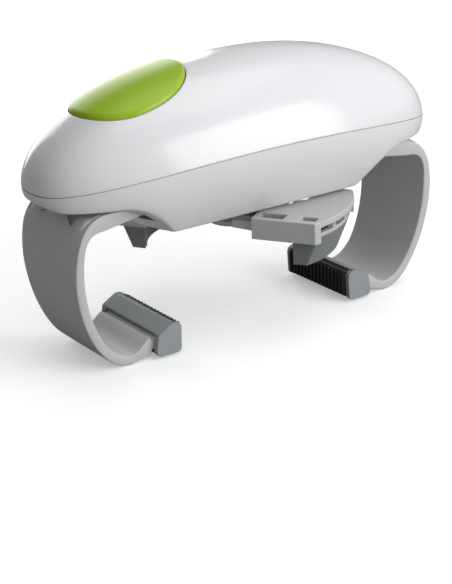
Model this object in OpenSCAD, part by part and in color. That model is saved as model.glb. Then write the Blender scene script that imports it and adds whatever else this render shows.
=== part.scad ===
// Battery-powered opener for screw lids. Two arms hold the container below,
// and a turntable with two jaws grips the lid and turns it.
// Frame: +X along the body, -Y to the front, +Z up, z = 0 under the arms.
// All lengths are millimetres and all angles are degrees.

/* [Body] */
// Length of the body from tip to tip
body_len = 210; // [206:1:220]
// Width of the body at the parting line
body_wid = 81.8; // [80:0.2:90]
// Squareness of the body seen from above, where 2 is an ellipse
body_round = 2.43; // [2.3:0.01:2.7]
// Height of the parting line at the two tips
seam_tip_z = 81.7; // [80:0.1:84]
// How much the parting line rises from the tips to the middle
seam_rise = 9.6; // [7:0.1:11]
// Height of the dome above the tips
dome_h = 45.7; // [44:0.1:52]
// Wall of both shells
shell_wall = 2.2; // [1.8:0.1:2.6]
// Size of the bevels that make the groove between the shells
seam_groove = 0.35; // [0.2:0.05:0.6]

/* [Keel and wings] */
// Height of the flat underside of the wings
wing_z = 74; // [73.5:0.1:75]
// Length of the flat underside from wing to wing
wing_len = 206; // [200:1:206]
// Width of the flat underside, if the keel did not cross it
wing_wid = 73; // [70:0.5:76]
// Height of the bottom of the keel
keel_z = 58.5; // [58:0.1:59]
// Length of the keel along its straight sides
keel_len = 101; // [98:0.5:104]
// Width of the keel
keel_wid = 54; // [53:0.5:58]
// How far the ends of the keel bulge out past its straight sides
keel_bulge = 6.5; // [3:0.5:8]
// Length of the S-shaped rise from the keel to a wing
keel_run = 25.5; // [22:0.5:28]
// Shape of that rise, where 1 is a straight ramp
keel_curve = 1.75; // [1.4:0.05:2.2]
// Thickness of the floor of the lower shell
floor_t = 2.4; // [2.2:0.1:2.6]

/* [Button] */
// Length of the button along the body
button_len = 52; // [48:0.5:56]
// Width of the button
button_wid = 44; // [40:0.5:48]
// Distance from the middle of the body to the middle of the button
button_x = 54; // [52:0.5:58]
// How far the button stands out of the dome
button_raise = 1.6; // [1:0.1:2.4]
// How far the button travels
button_travel = 1.8; // [1:0.1:2]

/* [Battery cover] */
// Length of the battery cover
cover_len = 54; // [46:0.5:56]
// Height of the battery cover
cover_h = 18; // [16:0.5:20]
// Distance from the middle of the body to the middle of the cover
cover_x = 36; // [34:0.5:38]
// Height of the middle of the cover
cover_z = 103; // [102:0.5:105]

/* [Arms] */
// Distance from the middle of the body to the outside of an arm
arm_reach = 98.8; // [97:0.2:102]
// Thickness of an arm's band
arm_t = 4.4; // [3.8:0.1:5]
// Width of an arm at the top
arm_top_wid = 50.4; // [48:0.2:51]
// Width of an arm at the bottom
arm_foot_wid = 42.8; // [40:0.2:44]
// Thickness of the plate that slides into the keel
arm_plate_t = 4.4; // [4:0.1:4.6]
// Depth of an arm's upper bend, measured down from the plate's top
arm_bend = 7.4; // [6.5:0.1:9]
// Distance from the middle of the body to the plate's inner end
arm_plate_end = 64.5; // [63:0.5:66]
// Distance from the middle of the body to the thick end of an arm's foot
arm_foot_x = 62.3; // [62:0.1:63]
// Distance from the middle of the body to a pad's hinge pin
pad_pin_x = 58; // [57.6:0.1:58.4]
// Height of the pad's hinge pin
pad_pin_z = 6.4; // [6.2:0.1:7]

/* [Pads] */
// Distance from the middle of the body to the face of a pad
pad_face_x = 46.6; // [45.5:0.1:48]
// Width of a pad holder
pad_wid = 49.4; // [48:0.2:52]
// Height of a pad holder
pad_h = 14.8; // [13:0.2:17]
// Thickness of the rubber pad without its ribs
pad_t = 3.2; // [2.5:0.1:4]
// Number of ribs on a pad
pad_ribs = 16; // [10:1:20]
// Diameter of a pad's hinge pin
pad_pin_d = 3; // [2.5:0.1:3.4]

/* [Turntable and jaws] */
// Angle of the jaws about the vertical axis, as they are shown
jaw_angle = -57; // [-90:1:0]
// Diameter of the lid that the jaws are closed on
lid_d = 82.6; // [76:0.2:86]
// Thickness of a claw, from the side that grips to its outer side
claw_t = 12.3; // [11.6:0.1:13.2]
// Width of a jaw
jaw_wid = 52; // [50:0.5:53]
// Height of a jaw's frame
jaw_h = 10; // [9.6:0.1:11]
// Thickness of a jaw's top plate
jaw_top_t = 2.6; // [2.2:0.1:2.8]
// Width of a claw
claw_wid = 42; // [38:0.5:43]
// How far a claw reaches down below the jaw's frame
claw_drop = 12; // [10:0.5:13]
// Diameter of the turntable's disc
disc_d = 50; // [46:0.5:51]

/* [Gears] */
// Teeth on the sun gear
sun_teeth = 15; // [15:15:15]
// Teeth on each planet gear
planet_teeth = 15; // [15:15:15]
// Tooth module of the planetary gears
planet_mod = 0.8; // [0.76:0.02:0.82]
// Teeth on the pinions that drive the arms and the jaws
rack_teeth = 16; // [16:2:16]
// Tooth module of the pinion between the arms
arm_mod = 1; // [0.9:0.05:1.1]
// Tooth module of the pinion between the jaws
jaw_mod = 0.75; // [0.7:0.05:0.8]
// Teeth on the wheel of the sun gear's shaft
shaft_wheel_teeth = 36; // [32:2:38]
// Teeth on the wheels of the two middle gears
wheel_teeth = 30; // [28:2:32]
// Teeth on the small pinions of the gear train
pinion_teeth = 12; // [12:1:13]
// Play between meshing teeth
backlash = 0.2; // [0.14:0.02:0.26]

/* [Clearances] */
// Gap round a shaft that turns
shaft_gap = 0.05; // [0.03:0.01:0.08]
// Gap between parts that slide past each other
slide_gap = 0.3; // [0.25:0.05:0.4]
// Gap round the button and the battery cover
cover_gap = 0.4; // [0.3:0.05:0.5]

/* [Smoothness] */
// Points round the dome
around = 72; // [48:4:80]

/* [Hidden] */

white_shell = [0.93, 0.93, 0.94];
button_green = [0.55, 0.68, 0.13];
arm_grey = [0.45, 0.45, 0.43];
jaw_grey = [0.76, 0.76, 0.76];
claw_grey = [0.48, 0.50, 0.48];
holder_grey = [0.56, 0.59, 0.60];
rubber_black = [0.10, 0.10, 0.10];
gear_white = [0.86, 0.85, 0.80];
steel = [0.70, 0.71, 0.73];

half_len = body_len / 2;
half_wid = body_wid / 2;
wing_half = wing_len / 2;
dome_steps = 14;
inner_steps = 9;

// ---- outlines of the body -------------------------------------------------

// keeps the sign of v while raising its size to the power e
function signed_pow(v, e) = sign(v) * pow(abs(v), e);

// point of an oval with half sizes a and b at the angle t
function oval(a, b, n, t) = [a * signed_pow(cos(t), 2 / n), b * signed_pow(sin(t), 2 / n)];

// height of the parting line
function seam_z(x) = seam_tip_z + seam_rise * (1 - pow(x / half_len, 2));

// 0 on the axis and 1 on the outline of the body, drawn in by d
function plan_share(x, y, d) = min(1, pow(pow(abs(x) / (half_len - d), body_round)
    + pow(abs(y) / (half_wid - d), body_round), 1 / body_round));

// height of the dome over the point x, y, with the surface drawn in by d
function dome_z(x, y, d) = let (q = plan_share(x, y, d))
    seam_tip_z + sqrt(pow(seam_z(x) - seam_tip_z, 2) * pow(q, 4)
    + pow(dome_h - d, 2) * (1 - q * q));

// one ring of the dome at the share q of its outline
function dome_ring(q, d, lift) = [for (k = [0:around - 1])
    let (p = oval((half_len - d) * q, (half_wid - d) * q, body_round, 360 * k / around))
    [p.x, p.y, dome_z(p.x, p.y, d) + lift]];

// distance of the dome's side from the middle at x and z, drawn in by d
function dome_y(x, z, d) = let (
    r2 = pow(seam_z(x) - seam_tip_z, 2),
    h2 = pow(dome_h - d, 2),
    q2 = (h2 - sqrt(h2 * h2 - 4 * r2 * (h2 - pow(z - seam_tip_z, 2)))) / (2 * r2))
    (half_wid - d) * pow(pow(q2, body_round / 2)
    - pow(abs(x) / (half_len - d), body_round), 1 / body_round);

// closed surface through rings of equal length, from one pole to the other
module loft(pole_a, rings, pole_b) {
    m = len(rings[0]);
    last = len(rings) * m + 1;
    start_fan = [for (k = [0:m - 1]) [0, 1 + (k + 1) % m, 1 + k]];
    sides = [for (j = [0:len(rings) - 2], k = [0:m - 1]) let (
        a = 1 + j * m + k,
        b = 1 + j * m + (k + 1) % m)
        each [[a, b, b + m], [a, b + m, a + m]]];
    end_fan = [for (k = [0:m - 1]) [last - m + k, last - m + (k + 1) % m, last]];
    polyhedron(concat([pole_a], [for (r = rings) each r], [pole_b]),
        concat(start_fan, sides, end_fan));
}

// ---- heights that the pieces share ----------------------------------------

floor_top = keel_z + floor_t;
wing_floor_top = wing_z + floor_t;
disc_t = 1.4;
disc_z = keel_z - 0.7;
disc_recess_z = disc_z + disc_t + slide_gap / 2;
hub_r = 9;
carrier_z = floor_top + slide_gap;
carrier_t = 1.6;
planet_z = carrier_z + carrier_t + 0.2;
planet_h = 4;
ring_top = planet_z + planet_h + 0.2;
ring_cover_t = 1.2;
arm_top = wing_z - slide_gap;
arm_bottom = arm_top - arm_plate_t;
deck_t = 2;
deck_z = wing_floor_top;
deck_top = deck_z + deck_t;
deck_half_len = 66;
deck_half_wid = 28;
deck_tongue_len = 88;
deck_tongue_wid = 22;

// ---- places of the screws that join the shells ----------------------------

screw_x = 78;
screw_y = 18;
screw_r = 1.5;
screw_head_r = 2.8;
screw_head_h = 2;
boss_r = 3.6;
boss_z = 84;
screw_places = [for (sx = [-1, 1], sy = [-1, 1]) [sx * screw_x, sy * screw_y]];

// ---- shells ---------------------------------------------------------------

module dome_shell() {
    outer = [for (j = [1:dome_steps - 1]) dome_ring(sin(90 * j / dome_steps), 0, 0)];
    inner = [for (j = [inner_steps - 1:-1:1])
        dome_ring(sin(90 * j / inner_steps), shell_wall, 0)];
    loft([0, 0, dome_z(0, 0, 0)],
        concat(outer, [dome_ring(1, 0, seam_groove)], [dome_ring(1, seam_groove, 0)],
        [dome_ring(1, shell_wall, 0)], inner),
        [0, 0, dome_z(0, 0, shell_wall)]);
}

button_round = 2.2;
cover_round = 5;

// outline of the button seen from above, made larger by grow
module button_outline(grow) {
    polygon([for (k = [0:around / 2 - 1])
        oval(button_len / 2 + grow, button_wid / 2 + grow, button_round, 720 * k / around)]);
}

// outline of the battery cover seen from behind, made larger by grow
module cover_outline(grow) {
    polygon([for (k = [0:around / 2 - 1])
        oval(cover_len / 2 + grow, cover_h / 2 + grow, cover_round, 720 * k / around)]);
}

module upper_shell() color(white_shell) {
    difference() {
        union() {
            dome_shell();
            for (p = screw_places) {
                boss_top = dome_z(abs(p.x) + 2.6, abs(p.y) + 2.6, 0) - 1;
                translate([p.x, p.y, boss_z]) cylinder(h = boss_top - boss_z, r = boss_r);
            }
        }
        translate([-button_x, 0, seam_tip_z + dome_h / 2])
            linear_extrude(dome_h) button_outline(cover_gap);
        translate([cover_x, half_wid + 1, cover_z]) rotate([90, 0, 0])
            linear_extrude(half_wid - 8) cover_outline(cover_gap);
        for (p = screw_places)
            translate([p.x, p.y, boss_z - 1]) cylinder(h = 11, r = screw_r);
    }
}

// share of the keel's depth at x, 1 on the keel and 0 on a wing
function keel_share(x) = pow(1 - min(1, max(0, (abs(x) - keel_len / 2) / keel_run)),
    keel_curve);

// height of the wing's underside, which curls up to the parting line at a tip
function wing_base(x, half, z0, run) = let (s = max(0, (abs(x) - half + run) / run))
    z0 + (seam_z(x) - z0) * (1 - sqrt(max(0, 1 - s * s)));

// height of the underside at x, y
function base_z(x, y, half, lift, run) = let (
    shift = keel_bulge * max(0, 1 - pow(2 * y / keel_wid, 2)))
    wing_base(x, half, wing_z + lift, run) - (wing_z - keel_z) * keel_share(abs(x) - shift);

// half width of the underside at x
function base_half(x, d) = let (
    w = abs(x) < wing_half - d
        ? (wing_wid / 2 - d) * pow(1 - pow(abs(x) / (wing_half - d), body_round),
            1 / body_round) : 0,
    k = keel_share(x))
    min(w, (keel_wid / 2 - d) * k + w * (1 - k));

// half width of the body at the parting line
function seam_half(x, d) = (half_wid - d) * pow(max(0, 1 - pow(abs(x) / (half_len - d),
    body_round)), 1 / body_round);

side_steps = 7;
base_shares = [1, 0.8, 0.5, 0];
inner_shares = [1, 0.6, 0];

// half of a section, from the parting line down its side and in to the middle
function half_section(x, d, lift, run, groove, steps, shares) = let (
    half = half_len - d,
    yb = base_half(x, d),
    ys = seam_half(x, d),
    zb = base_z(x, yb, half, lift, run),
    zs = seam_z(x) - groove,
    bend = 1 + keel_share(x))
    concat([for (j = [steps:-1:1]) let (a = 90 * j / steps)
        [x, yb + (ys - yb) * pow(sin(a), bend), zb + (zs - zb) * (1 - cos(a))]],
    [for (s = shares) [x, yb * s, base_z(x, yb * s, half, lift, run)]]);

function mirrored(pts) = [for (i = [len(pts) - 2:-1:0]) [pts[i].x, -pts[i].y, pts[i].z]];

function groove_edge(x, side) = [x, side * (seam_half(x, 0) - seam_groove), seam_z(x)];

tip_run = 6;
inner_tip_run = 4;
tip_share = 0.9994;

// the whole section of the lower shell at the share u of its half length
function shell_section(u) = let (
    xo = u * half_len,
    xi = u * (half_len - shell_wall),
    outer = half_section(xo, 0, 0, tip_run, seam_groove, side_steps, base_shares),
    inner = half_section(xi, shell_wall, floor_t, inner_tip_run, 0, 4, inner_shares),
    ring_in = concat(inner, mirrored(inner)))
    concat([groove_edge(xo, 1)], outer, mirrored(outer), [groove_edge(xo, -1)],
    [for (i = [len(ring_in) - 1:-1:0]) ring_in[i]]);

keel_u = keel_len / 2 / half_len;
run_u = (keel_len / 2 + keel_run) / half_len;
station_halves = concat([for (i = [1:4]) keel_u * i / 4],
    [for (i = [1:12]) keel_u + (run_u - keel_u) * i / 12],
    [for (i = [1:10]) run_u + (tip_share - run_u) * sin(90 * i / 10)]);
stations = concat([for (i = [len(station_halves) - 1:-1:0]) -station_halves[i]], [0],
    station_halves);
outer_count = 2 * (side_steps + len(base_shares)) + 1;

module lower_tray() {
    rows = [for (u = stations) shell_section(u)];
    m = len(rows[0]);
    n = len(rows);
    base = (n - 1) * m;
    sides = [for (i = [0:n - 2], k = [0:m - 1]) let (
        a = i * m + k,
        b = i * m + (k + 1) % m)
        each [[a, b, b + m], [a, b + m, a + m]]];
    tip_right = [
        [for (k = [0:outer_count - 1]) base + k],
        [base, base + outer_count - 1, base + outer_count, base + m - 1],
        [for (k = [outer_count:m - 1]) base + k]];
    tip_left = [
        [for (k = [outer_count - 1:-1:0]) k],
        [m - 1, outer_count, outer_count - 1, 0],
        [for (k = [m - 1:-1:outer_count]) k]];
    polyhedron([for (r = rows) each r], concat(sides, tip_right, tip_left));
}

slot_z = arm_top - arm_bend - 3 * slide_gap;

module lower_shell() color(white_shell) {
    difference() {
        union() {
            lower_tray();
            for (p = screw_places)
                translate([p.x, p.y, wing_z + 1]) cylinder(h = boss_z - wing_z - 1, r = boss_r);
        }
        for (side = [-1, 1])
            translate([side * (keel_len / 2 + keel_run) - 32, -arm_top_wid / 2 - slide_gap, slot_z])
                cube([64, arm_top_wid + 2 * slide_gap, wing_z - 0.05 - slot_z]);
        translate([0, 0, keel_z - 1]) cylinder(h = floor_t + 2, r = hub_r + shaft_gap);
        translate([0, 0, keel_z - 1])
            cylinder(h = disc_recess_z - keel_z + 1, r = disc_d / 2 + slide_gap);
        for (p = screw_places) {
            translate([p.x, p.y, wing_z - 1]) cylinder(h = 12, r = screw_r + shaft_gap);
            translate([p.x, p.y, wing_z - 1]) cylinder(h = 1.4 + screw_head_h, r = screw_head_r + 0.1);
        }
    }
}

module shell_screws() color(steel) {
    for (p = screw_places) translate([p.x, p.y, wing_z + 0.4]) {
        difference() {
            cylinder(h = screw_head_h, r = screw_head_r);
            for (a = [0, 90]) rotate([0, 0, a])
                translate([-1.5, -0.35, -1]) cube([3, 0.7, 1.9]);
        }
        translate([0, 0, screw_head_h]) cylinder(h = 16, r = screw_r);
    }
}

// ---- battery cover --------------------------------------------------------

cover_t = shell_wall;

function cover_ring(share, d) = [for (k = [0:around / 2 - 1])
    let (p = oval(cover_len / 2 * share, cover_h / 2 * share, cover_round, 720 * k / around))
    [cover_x - p.x, dome_y(cover_x - p.x, cover_z + p.y, d), cover_z + p.y]];

module battery_cover() color(white_shell) {
    loft([cover_x, dome_y(cover_x, cover_z, 0), cover_z],
        concat([for (s = [0.25:0.25:1]) cover_ring(s, 0)],
        [for (s = [1:-0.5:0.5]) cover_ring(s, cover_t)]),
        [cover_x, dome_y(cover_x, cover_z, cover_t), cover_z]);
}

// ---- button ---------------------------------------------------------------

button_edge = 1.2;
flange_out = 1.5;
flange_t = 1.2;
seat_r = 9.5;
seat_z = 109.5;
stem_z = 106.9;

// ring of the button at the share s of its outline, grown by g, raised above a surface
function button_ring(s, g, d, lift) = [for (k = [0:around / 2 - 1])
    let (p = oval((button_len / 2 + g) * s, (button_wid / 2 + g) * s, button_round,
        720 * k / around))
    [p.x - button_x, p.y, dome_z(p.x - button_x, p.y, d) + lift]];

module button() color(button_green) {
    under = -2 * slide_gap;
    top = [for (s = [0.2:0.2:0.8]) button_ring(s, 0, 0, button_raise)];
    edge = [for (a = [0:30:90]) button_ring(1, -button_edge * (1 - sin(a)), 0,
        button_raise - button_edge * (1 - cos(a)))];
    loft([-button_x, 0, dome_z(-button_x, 0, 0) + button_raise],
        concat(top, edge,
        [button_ring(1, 0, shell_wall, under)],
        [button_ring(1, flange_out, shell_wall, under)],
        [button_ring(1, flange_out, shell_wall, under - flange_t)],
        [button_ring(0.5, 0, shell_wall, under - flange_t)]),
        [-button_x, 0, dome_z(-button_x, 0, shell_wall) + under - flange_t]);
    seat_top = dome_z(-button_x, 0, shell_wall) + under;
    translate([-button_x, 0, seat_z]) cylinder(h = seat_top - seat_z, r = seat_r);
    translate([-button_x, 0, stem_z]) cylinder(h = seat_z - stem_z + 1, r = 2.4);
}

board_z = 98;
board_t = 1.6;
board_len = 39;
board_wid = 32;
board_x = -button_x - 1.5;
spring_r = 7.6;
spring_wire = 0.5;
spring_turns = 5;
spring_steps = 12;
spring_h = seat_z - board_z - board_t;

// the spring is one tube swept up a helix
module button_spring() color(steel) {
    n = spring_turns * spring_steps;
    rise = spring_h - 2 * spring_wire;
    rings = [for (i = [0:n]) let (a = 360 * i / spring_steps)
        [for (k = [0:5]) let (r = spring_r + spring_wire * cos(60 * k))
            [r * cos(a) - button_x, r * sin(a),
            board_z + board_t + spring_wire + rise * i / n - spring_wire * sin(60 * k)]]];
    loft([spring_r - button_x, 0, board_z + board_t + spring_wire], rings,
        [spring_r - button_x, 0, seat_z - spring_wire]);
}

module button_switch() color(rubber_black) {
    translate([-button_x - 4, -4, board_z + board_t]) cube([8, 8, 4]);
    translate([-button_x, 0, board_z + board_t + 4]) cylinder(h = 1.2, r = 1.7);
}

board_posts = [for (dx = [-16.5, 9.5], y = [-12, 12]) [board_x + dx, y]];

module circuit_board() color([0.10, 0.35, 0.20]) {
    difference() {
        translate([board_x - board_len / 2, -board_wid / 2, board_z])
            cube([board_len, board_wid, board_t]);
        for (p = board_posts) translate([p.x, p.y, board_z - 1]) cylinder(h = 4, r = 1.2);
    }
    translate([board_x - 14.5, -6, board_z + board_t]) cube([5, 12, 1.4]);
    translate([board_x + 13.5, -4, board_z + board_t]) cube([4, 8, 3]);
}

// ---- batteries ------------------------------------------------------------

cell_r = 7.25;
cell_len = 49;
cell_x = 6;
cell_z = 98;
cell_ys = [6, 21];
tray_wall = 1.6;

module cell(y, flip) {
    translate([cell_x + (flip ? cell_len + 1.5 : 0), y, cell_z])
        rotate([0, flip ? -90 : 90, 0]) {
            cylinder(h = cell_len, r = cell_r);
            cylinder(h = cell_len + 1.5, r = 2.7);
        }
}

module battery_front() color([0.25, 0.30, 0.36]) cell(cell_ys[0], false);
module battery_rear() color([0.25, 0.30, 0.36]) cell(cell_ys[1], true);

tray_gap = 2.6;

module battery_tray() color([0.22, 0.22, 0.23]) {
    x0 = cell_x - tray_gap - tray_wall;
    length = cell_len + 1.5 + 2 * (tray_gap + tray_wall);
    y0 = cell_ys[0] - cell_r - tray_wall;
    width = cell_ys[1] - cell_ys[0] + 2 * (cell_r + tray_wall);
    bottom = cell_z - cell_r - tray_wall;
    difference() {
        translate([x0, y0, bottom]) cube([length, width, cell_r + tray_wall]);
        for (y = cell_ys) translate([x0 + tray_wall, y, cell_z]) rotate([0, 90, 0])
            cylinder(h = length - 2 * tray_wall, r = cell_r + 0.15);
    }
    for (x = [x0 + 17, x0 + length - 4], y = [y0 + 4, y0 + width - 8])
        translate([x, y, deck_top]) cylinder(h = bottom + 0.5 - deck_top, r = 2.5);
}

module battery_contacts() color(steel) {
    for (i = [0, 1]) {
        far = cell_x + cell_len + 1.5;
        translate([cell_x - tray_gap, cell_ys[i] - 5, cell_z - 5]) cube([0.5, 10, 10]);
        translate([far + tray_gap - 0.5, cell_ys[i] - 5, cell_z - 5]) cube([0.5, 10, 10]);
        x = i == 0 ? cell_x - tray_gap + 0.5 : far;
        translate([x, cell_ys[i], cell_z]) rotate([0, 90, 0])
            cylinder(h = tray_gap - 0.5, r1 = i == 0 ? 4.5 : 3, r2 = i == 0 ? 3 : 4.5);
    }
}

// ---- gears ----------------------------------------------------------------

pressure = 20;

// involute function of an angle, in degrees
function involute(a) = tan(a) * 180 / PI - a;

// half of a tooth's angle at the radius r, for tooth thickness less play
function tooth_half(r, m, z, play) = let (
    rp = m * z / 2,
    rb = rp * cos(pressure))
    90 / z - play / 2 / rp * 180 / PI + involute(pressure) - involute(acos(min(1, rb / r)));

// outline of a spur gear with a tooth centred on angle 0
module gear_2d(m, z, play, addendum, dedendum) {
    rp = m * z / 2;
    r0 = rp - dedendum * m;
    r1 = rp + addendum * m;
    rb = rp * cos(pressure);
    radii = [r0, max(r0 + 0.01, rb), rp, (rp + r1) / 2, r1];
    polygon([for (i = [0:z - 1]) each concat(
        [for (r = radii) let (a = 360 * i / z - tooth_half(r, m, z, play)) r * [cos(a), sin(a)]],
        [for (j = [4:-1:0]) let (a = 360 * i / z + tooth_half(radii[j], m, z, play))
            radii[j] * [cos(a), sin(a)]])]);
}

module gear(m, z, h, turn) {
    rotate([0, 0, turn]) linear_extrude(h) gear_2d(m, z, backlash / 2, 0.9, 1.2);
}

// angle that puts gear b in mesh with gear a, where b lies at the direction dir from a
function mesh_turn(dir, turn_a, za, zb) =
    dir + 180 - 360 / zb * (0.5 - (dir - turn_a) * za / 360);

// one straight rack tooth row with a space at x = 0
module rack_2d(m, x0, x1, depth) {
    pitch = PI * m;
    first = ceil((x0 + pitch / 4) / pitch - 0.5);
    last = floor((x1 - pitch / 4) / pitch - 0.5);
    half = pitch / 4 - backlash / 4;
    slope = tan(pressure) * m;
    polygon(concat([[x0, -1.2 * m]],
        [for (i = [first:last]) let (c = (i + 0.5) * pitch)
            each [[c - half - 1.2 * slope, -1.2 * m], [c - half + 0.9 * slope, 0.9 * m],
            [c + half - 0.9 * slope, 0.9 * m], [c + half + 1.2 * slope, -1.2 * m]]],
        [[x1, -1.2 * m], [x1, -depth], [x0, -depth]]));
}

wheel_h = 3;
shaft_r = 3;
axle_r = 1.5;
stage_gap = 0.8;
shaft_mod = 0.8;
slow_mod = 0.7;
fast_mod = 0.6;
stage1_z = deck_top + 1;
stage2_z = stage1_z + 4.5 + 0.5;
stage3_z = stage2_z + wheel_h + stage_gap;
plate_z = stage3_z + wheel_h + stage_gap;
plate_t = 2;

slow_dir = 180;
fast_dir = 120;
motor_dir = -60;
slow_at = shaft_mod * (shaft_wheel_teeth + pinion_teeth) / 2 * [cos(slow_dir), sin(slow_dir)];
fast_at = slow_at + slow_mod * (wheel_teeth + pinion_teeth) / 2 * [cos(fast_dir), sin(fast_dir)];
motor_at = fast_at + fast_mod * (wheel_teeth + pinion_teeth) / 2 * [cos(motor_dir), sin(motor_dir)];
slow_turn = mesh_turn(slow_dir, 0, shaft_wheel_teeth, pinion_teeth);
fast_turn = mesh_turn(fast_dir, 0, wheel_teeth, pinion_teeth);
motor_turn = mesh_turn(motor_dir, 0, wheel_teeth, pinion_teeth);

module slow_gear() color(gear_white) translate([slow_at.x, slow_at.y, 0]) difference() {
    union() {
        translate([0, 0, stage1_z]) gear(shaft_mod, pinion_teeth, 5, slow_turn);
        translate([0, 0, stage2_z]) gear(slow_mod, wheel_teeth, wheel_h, 0);
    }
    translate([0, 0, stage1_z - 1]) cylinder(h = 20, r = axle_r + shaft_gap);
}

module fast_gear() color(gear_white) translate([fast_at.x, fast_at.y, 0]) difference() {
    union() {
        translate([0, 0, stage2_z]) gear(slow_mod, pinion_teeth, wheel_h + stage_gap, fast_turn);
        translate([0, 0, stage3_z]) gear(fast_mod, wheel_teeth, wheel_h - 0.4, 0);
    }
    translate([0, 0, stage2_z - 1]) cylinder(h = 20, r = axle_r + shaft_gap);
}

motor_r = 12;
motor_h = 24;
motor_z = plate_z + plate_t;

module motor_pinion() color(gear_white) translate([motor_at.x, motor_at.y, stage3_z - 0.2])
    difference() {
        gear(fast_mod, pinion_teeth, wheel_h + 0.3, motor_turn);
        translate([0, 0, 0.6]) cylinder(h = wheel_h + 2, r = 1 + shaft_gap);
    }

module motor() color(steel) translate([motor_at.x, motor_at.y, 0]) {
    intersection() {
        translate([0, 0, motor_z]) cylinder(h = motor_h, r = motor_r);
        translate([-motor_r, -9.5, motor_z]) cube([2 * motor_r, 19, motor_h]);
    }
    translate([0, 0, motor_z + motor_h]) cylinder(h = 1.6, r = 4);
    translate([0, 0, plate_z + 0.2]) cylinder(h = plate_t, r = 3);
    translate([0, 0, stage3_z + 0.8]) cylinder(h = plate_z - stage3_z, r = 1);
}

// posts that carry the motor's plate clear of the gears
plate_posts = [[-36, -12], [-40, 21], [-6, -23], [-6, 24]];
post_r = 2.6;

module motor_plate() color([0.55, 0.56, 0.58]) difference() {
    union() {
        translate([-43, -26, plate_z]) cube([40, 53, plate_t]);
        for (p = plate_posts) translate([p.x, p.y, plate_z]) cylinder(h = plate_t, r = post_r + 0.6);
    }
    for (p = plate_posts) translate([p.x, p.y, plate_z - 1]) cylinder(h = 5, r = 1.2 + shaft_gap);
    translate([motor_at.x, motor_at.y, plate_z - 1]) cylinder(h = 5, r = 3 + shaft_gap);
    translate([fast_at.x, fast_at.y, plate_z - 1]) cylinder(h = 5, r = axle_r);
}

module gear_axles() color(steel) {
    translate([slow_at.x, slow_at.y, deck_z]) cylinder(h = stage3_z - 0.4 - deck_z, r = axle_r);
    translate([fast_at.x, fast_at.y, deck_z])
        cylinder(h = plate_z + plate_t - deck_z, r = axle_r);
}

module motor_screws() color(steel) {
    for (p = plate_posts) translate([p.x, p.y, 0]) {
        translate([0, 0, motor_z]) cylinder(h = 1.4, r = 2.2);
        translate([0, 0, motor_z - 8]) cylinder(h = 8.2, r = 1.2);
    }
}

deck_screw_places = [for (sx = [-1, 1], sy = [-1, 1]) [sx * 83, sy * 7]];

module gear_deck() color([0.80, 0.81, 0.82]) difference() {
    union() {
        translate([-deck_half_len, -deck_half_wid, deck_z])
            cube([2 * deck_half_len, 2 * deck_half_wid, deck_t]);
        translate([-deck_tongue_len, -deck_tongue_wid / 2, deck_z])
            cube([2 * deck_tongue_len, deck_tongue_wid, deck_t]);
        for (p = plate_posts)
            translate([p.x, p.y, deck_z]) cylinder(h = plate_z - deck_z, r = post_r);
        for (p = board_posts)
            translate([p.x, p.y, deck_z]) cylinder(h = board_z - deck_z, r = post_r);
        for (p = board_posts)
            translate([p.x, p.y, deck_z]) cylinder(h = board_z + board_t - deck_z, r = 1.15);
        for (side = [-1, 1])
            translate([-30, side * (rack_back + 1.7 + slide_gap) - 1.5, arm_bottom + 0.4])
                cube([60, 3, deck_z - arm_bottom]);
    }
    translate([0, 0, deck_z - 1]) cylinder(h = 4, r = shaft_r + shaft_gap);
    translate([slow_at.x, slow_at.y, deck_z - 1]) cylinder(h = 4, r = axle_r);
    translate([fast_at.x, fast_at.y, deck_z - 1]) cylinder(h = 4, r = axle_r);
    for (p = plate_posts) translate([p.x, p.y, plate_z - 9]) cylinder(h = 10, r = 1.2);
    for (p = deck_screw_places) translate([p.x, p.y, deck_z - 1]) cylinder(h = 4, r = 1.2);
}

module deck_screws() color(steel) {
    for (p = deck_screw_places) translate([p.x, p.y, 0]) {
        translate([0, 0, deck_top]) cylinder(h = 1.4, r = 2.2);
        translate([0, 0, deck_z + 0.05]) cylinder(h = deck_t, r = 1.15);
    }
}

// ---- planetary stage ------------------------------------------------------

ring_teeth = sun_teeth + 2 * planet_teeth;
planet_orbit = planet_mod * (sun_teeth + planet_teeth) / 2;
planet_dirs = [for (i = [0:2]) jaw_angle + 120 * i];
planet_turns = [for (dir = planet_dirs) mesh_turn(dir, 0, sun_teeth, planet_teeth)];
ring_turn = planet_dirs[0] - (planet_dirs[0] - planet_turns[0]) * planet_teeth / ring_teeth;
ring_r = planet_mod * ring_teeth / 2 + 3.6;
planet_pin_r = 1.5;

module sun_gear() color(gear_white) {
    translate([0, 0, planet_z]) gear(planet_mod, sun_teeth, planet_h, 0);
    translate([0, 0, planet_z + planet_h]) cylinder(h = stage1_z - planet_z - planet_h, r = shaft_r);
    translate([0, 0, stage1_z]) gear(shaft_mod, shaft_wheel_teeth, 4, 0);
    translate([0, 0, disc_z + 1.5]) cylinder(h = planet_z - disc_z - 1.5, r = 2);
}

module planet(i) color(gear_white)
    translate([planet_orbit * cos(planet_dirs[i]), planet_orbit * sin(planet_dirs[i]), planet_z])
        difference() {
            gear(planet_mod, planet_teeth, planet_h, planet_turns[i]);
            translate([0, 0, -1]) cylinder(h = planet_h + 2, r = planet_pin_r + shaft_gap);
        }

module planet_gear_1() planet(0);
module planet_gear_2() planet(1);
module planet_gear_3() planet(2);

module ring_gear() color([0.75, 0.74, 0.70]) difference() {
    translate([0, 0, floor_top]) cylinder(h = ring_top - floor_top, r = ring_r);
    translate([0, 0, floor_top - 1]) rotate([0, 0, ring_turn])
        linear_extrude(ring_top - floor_top + 2)
            gear_2d(planet_mod, ring_teeth, -backlash / 2, 1.2, 0.9);
}

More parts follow.
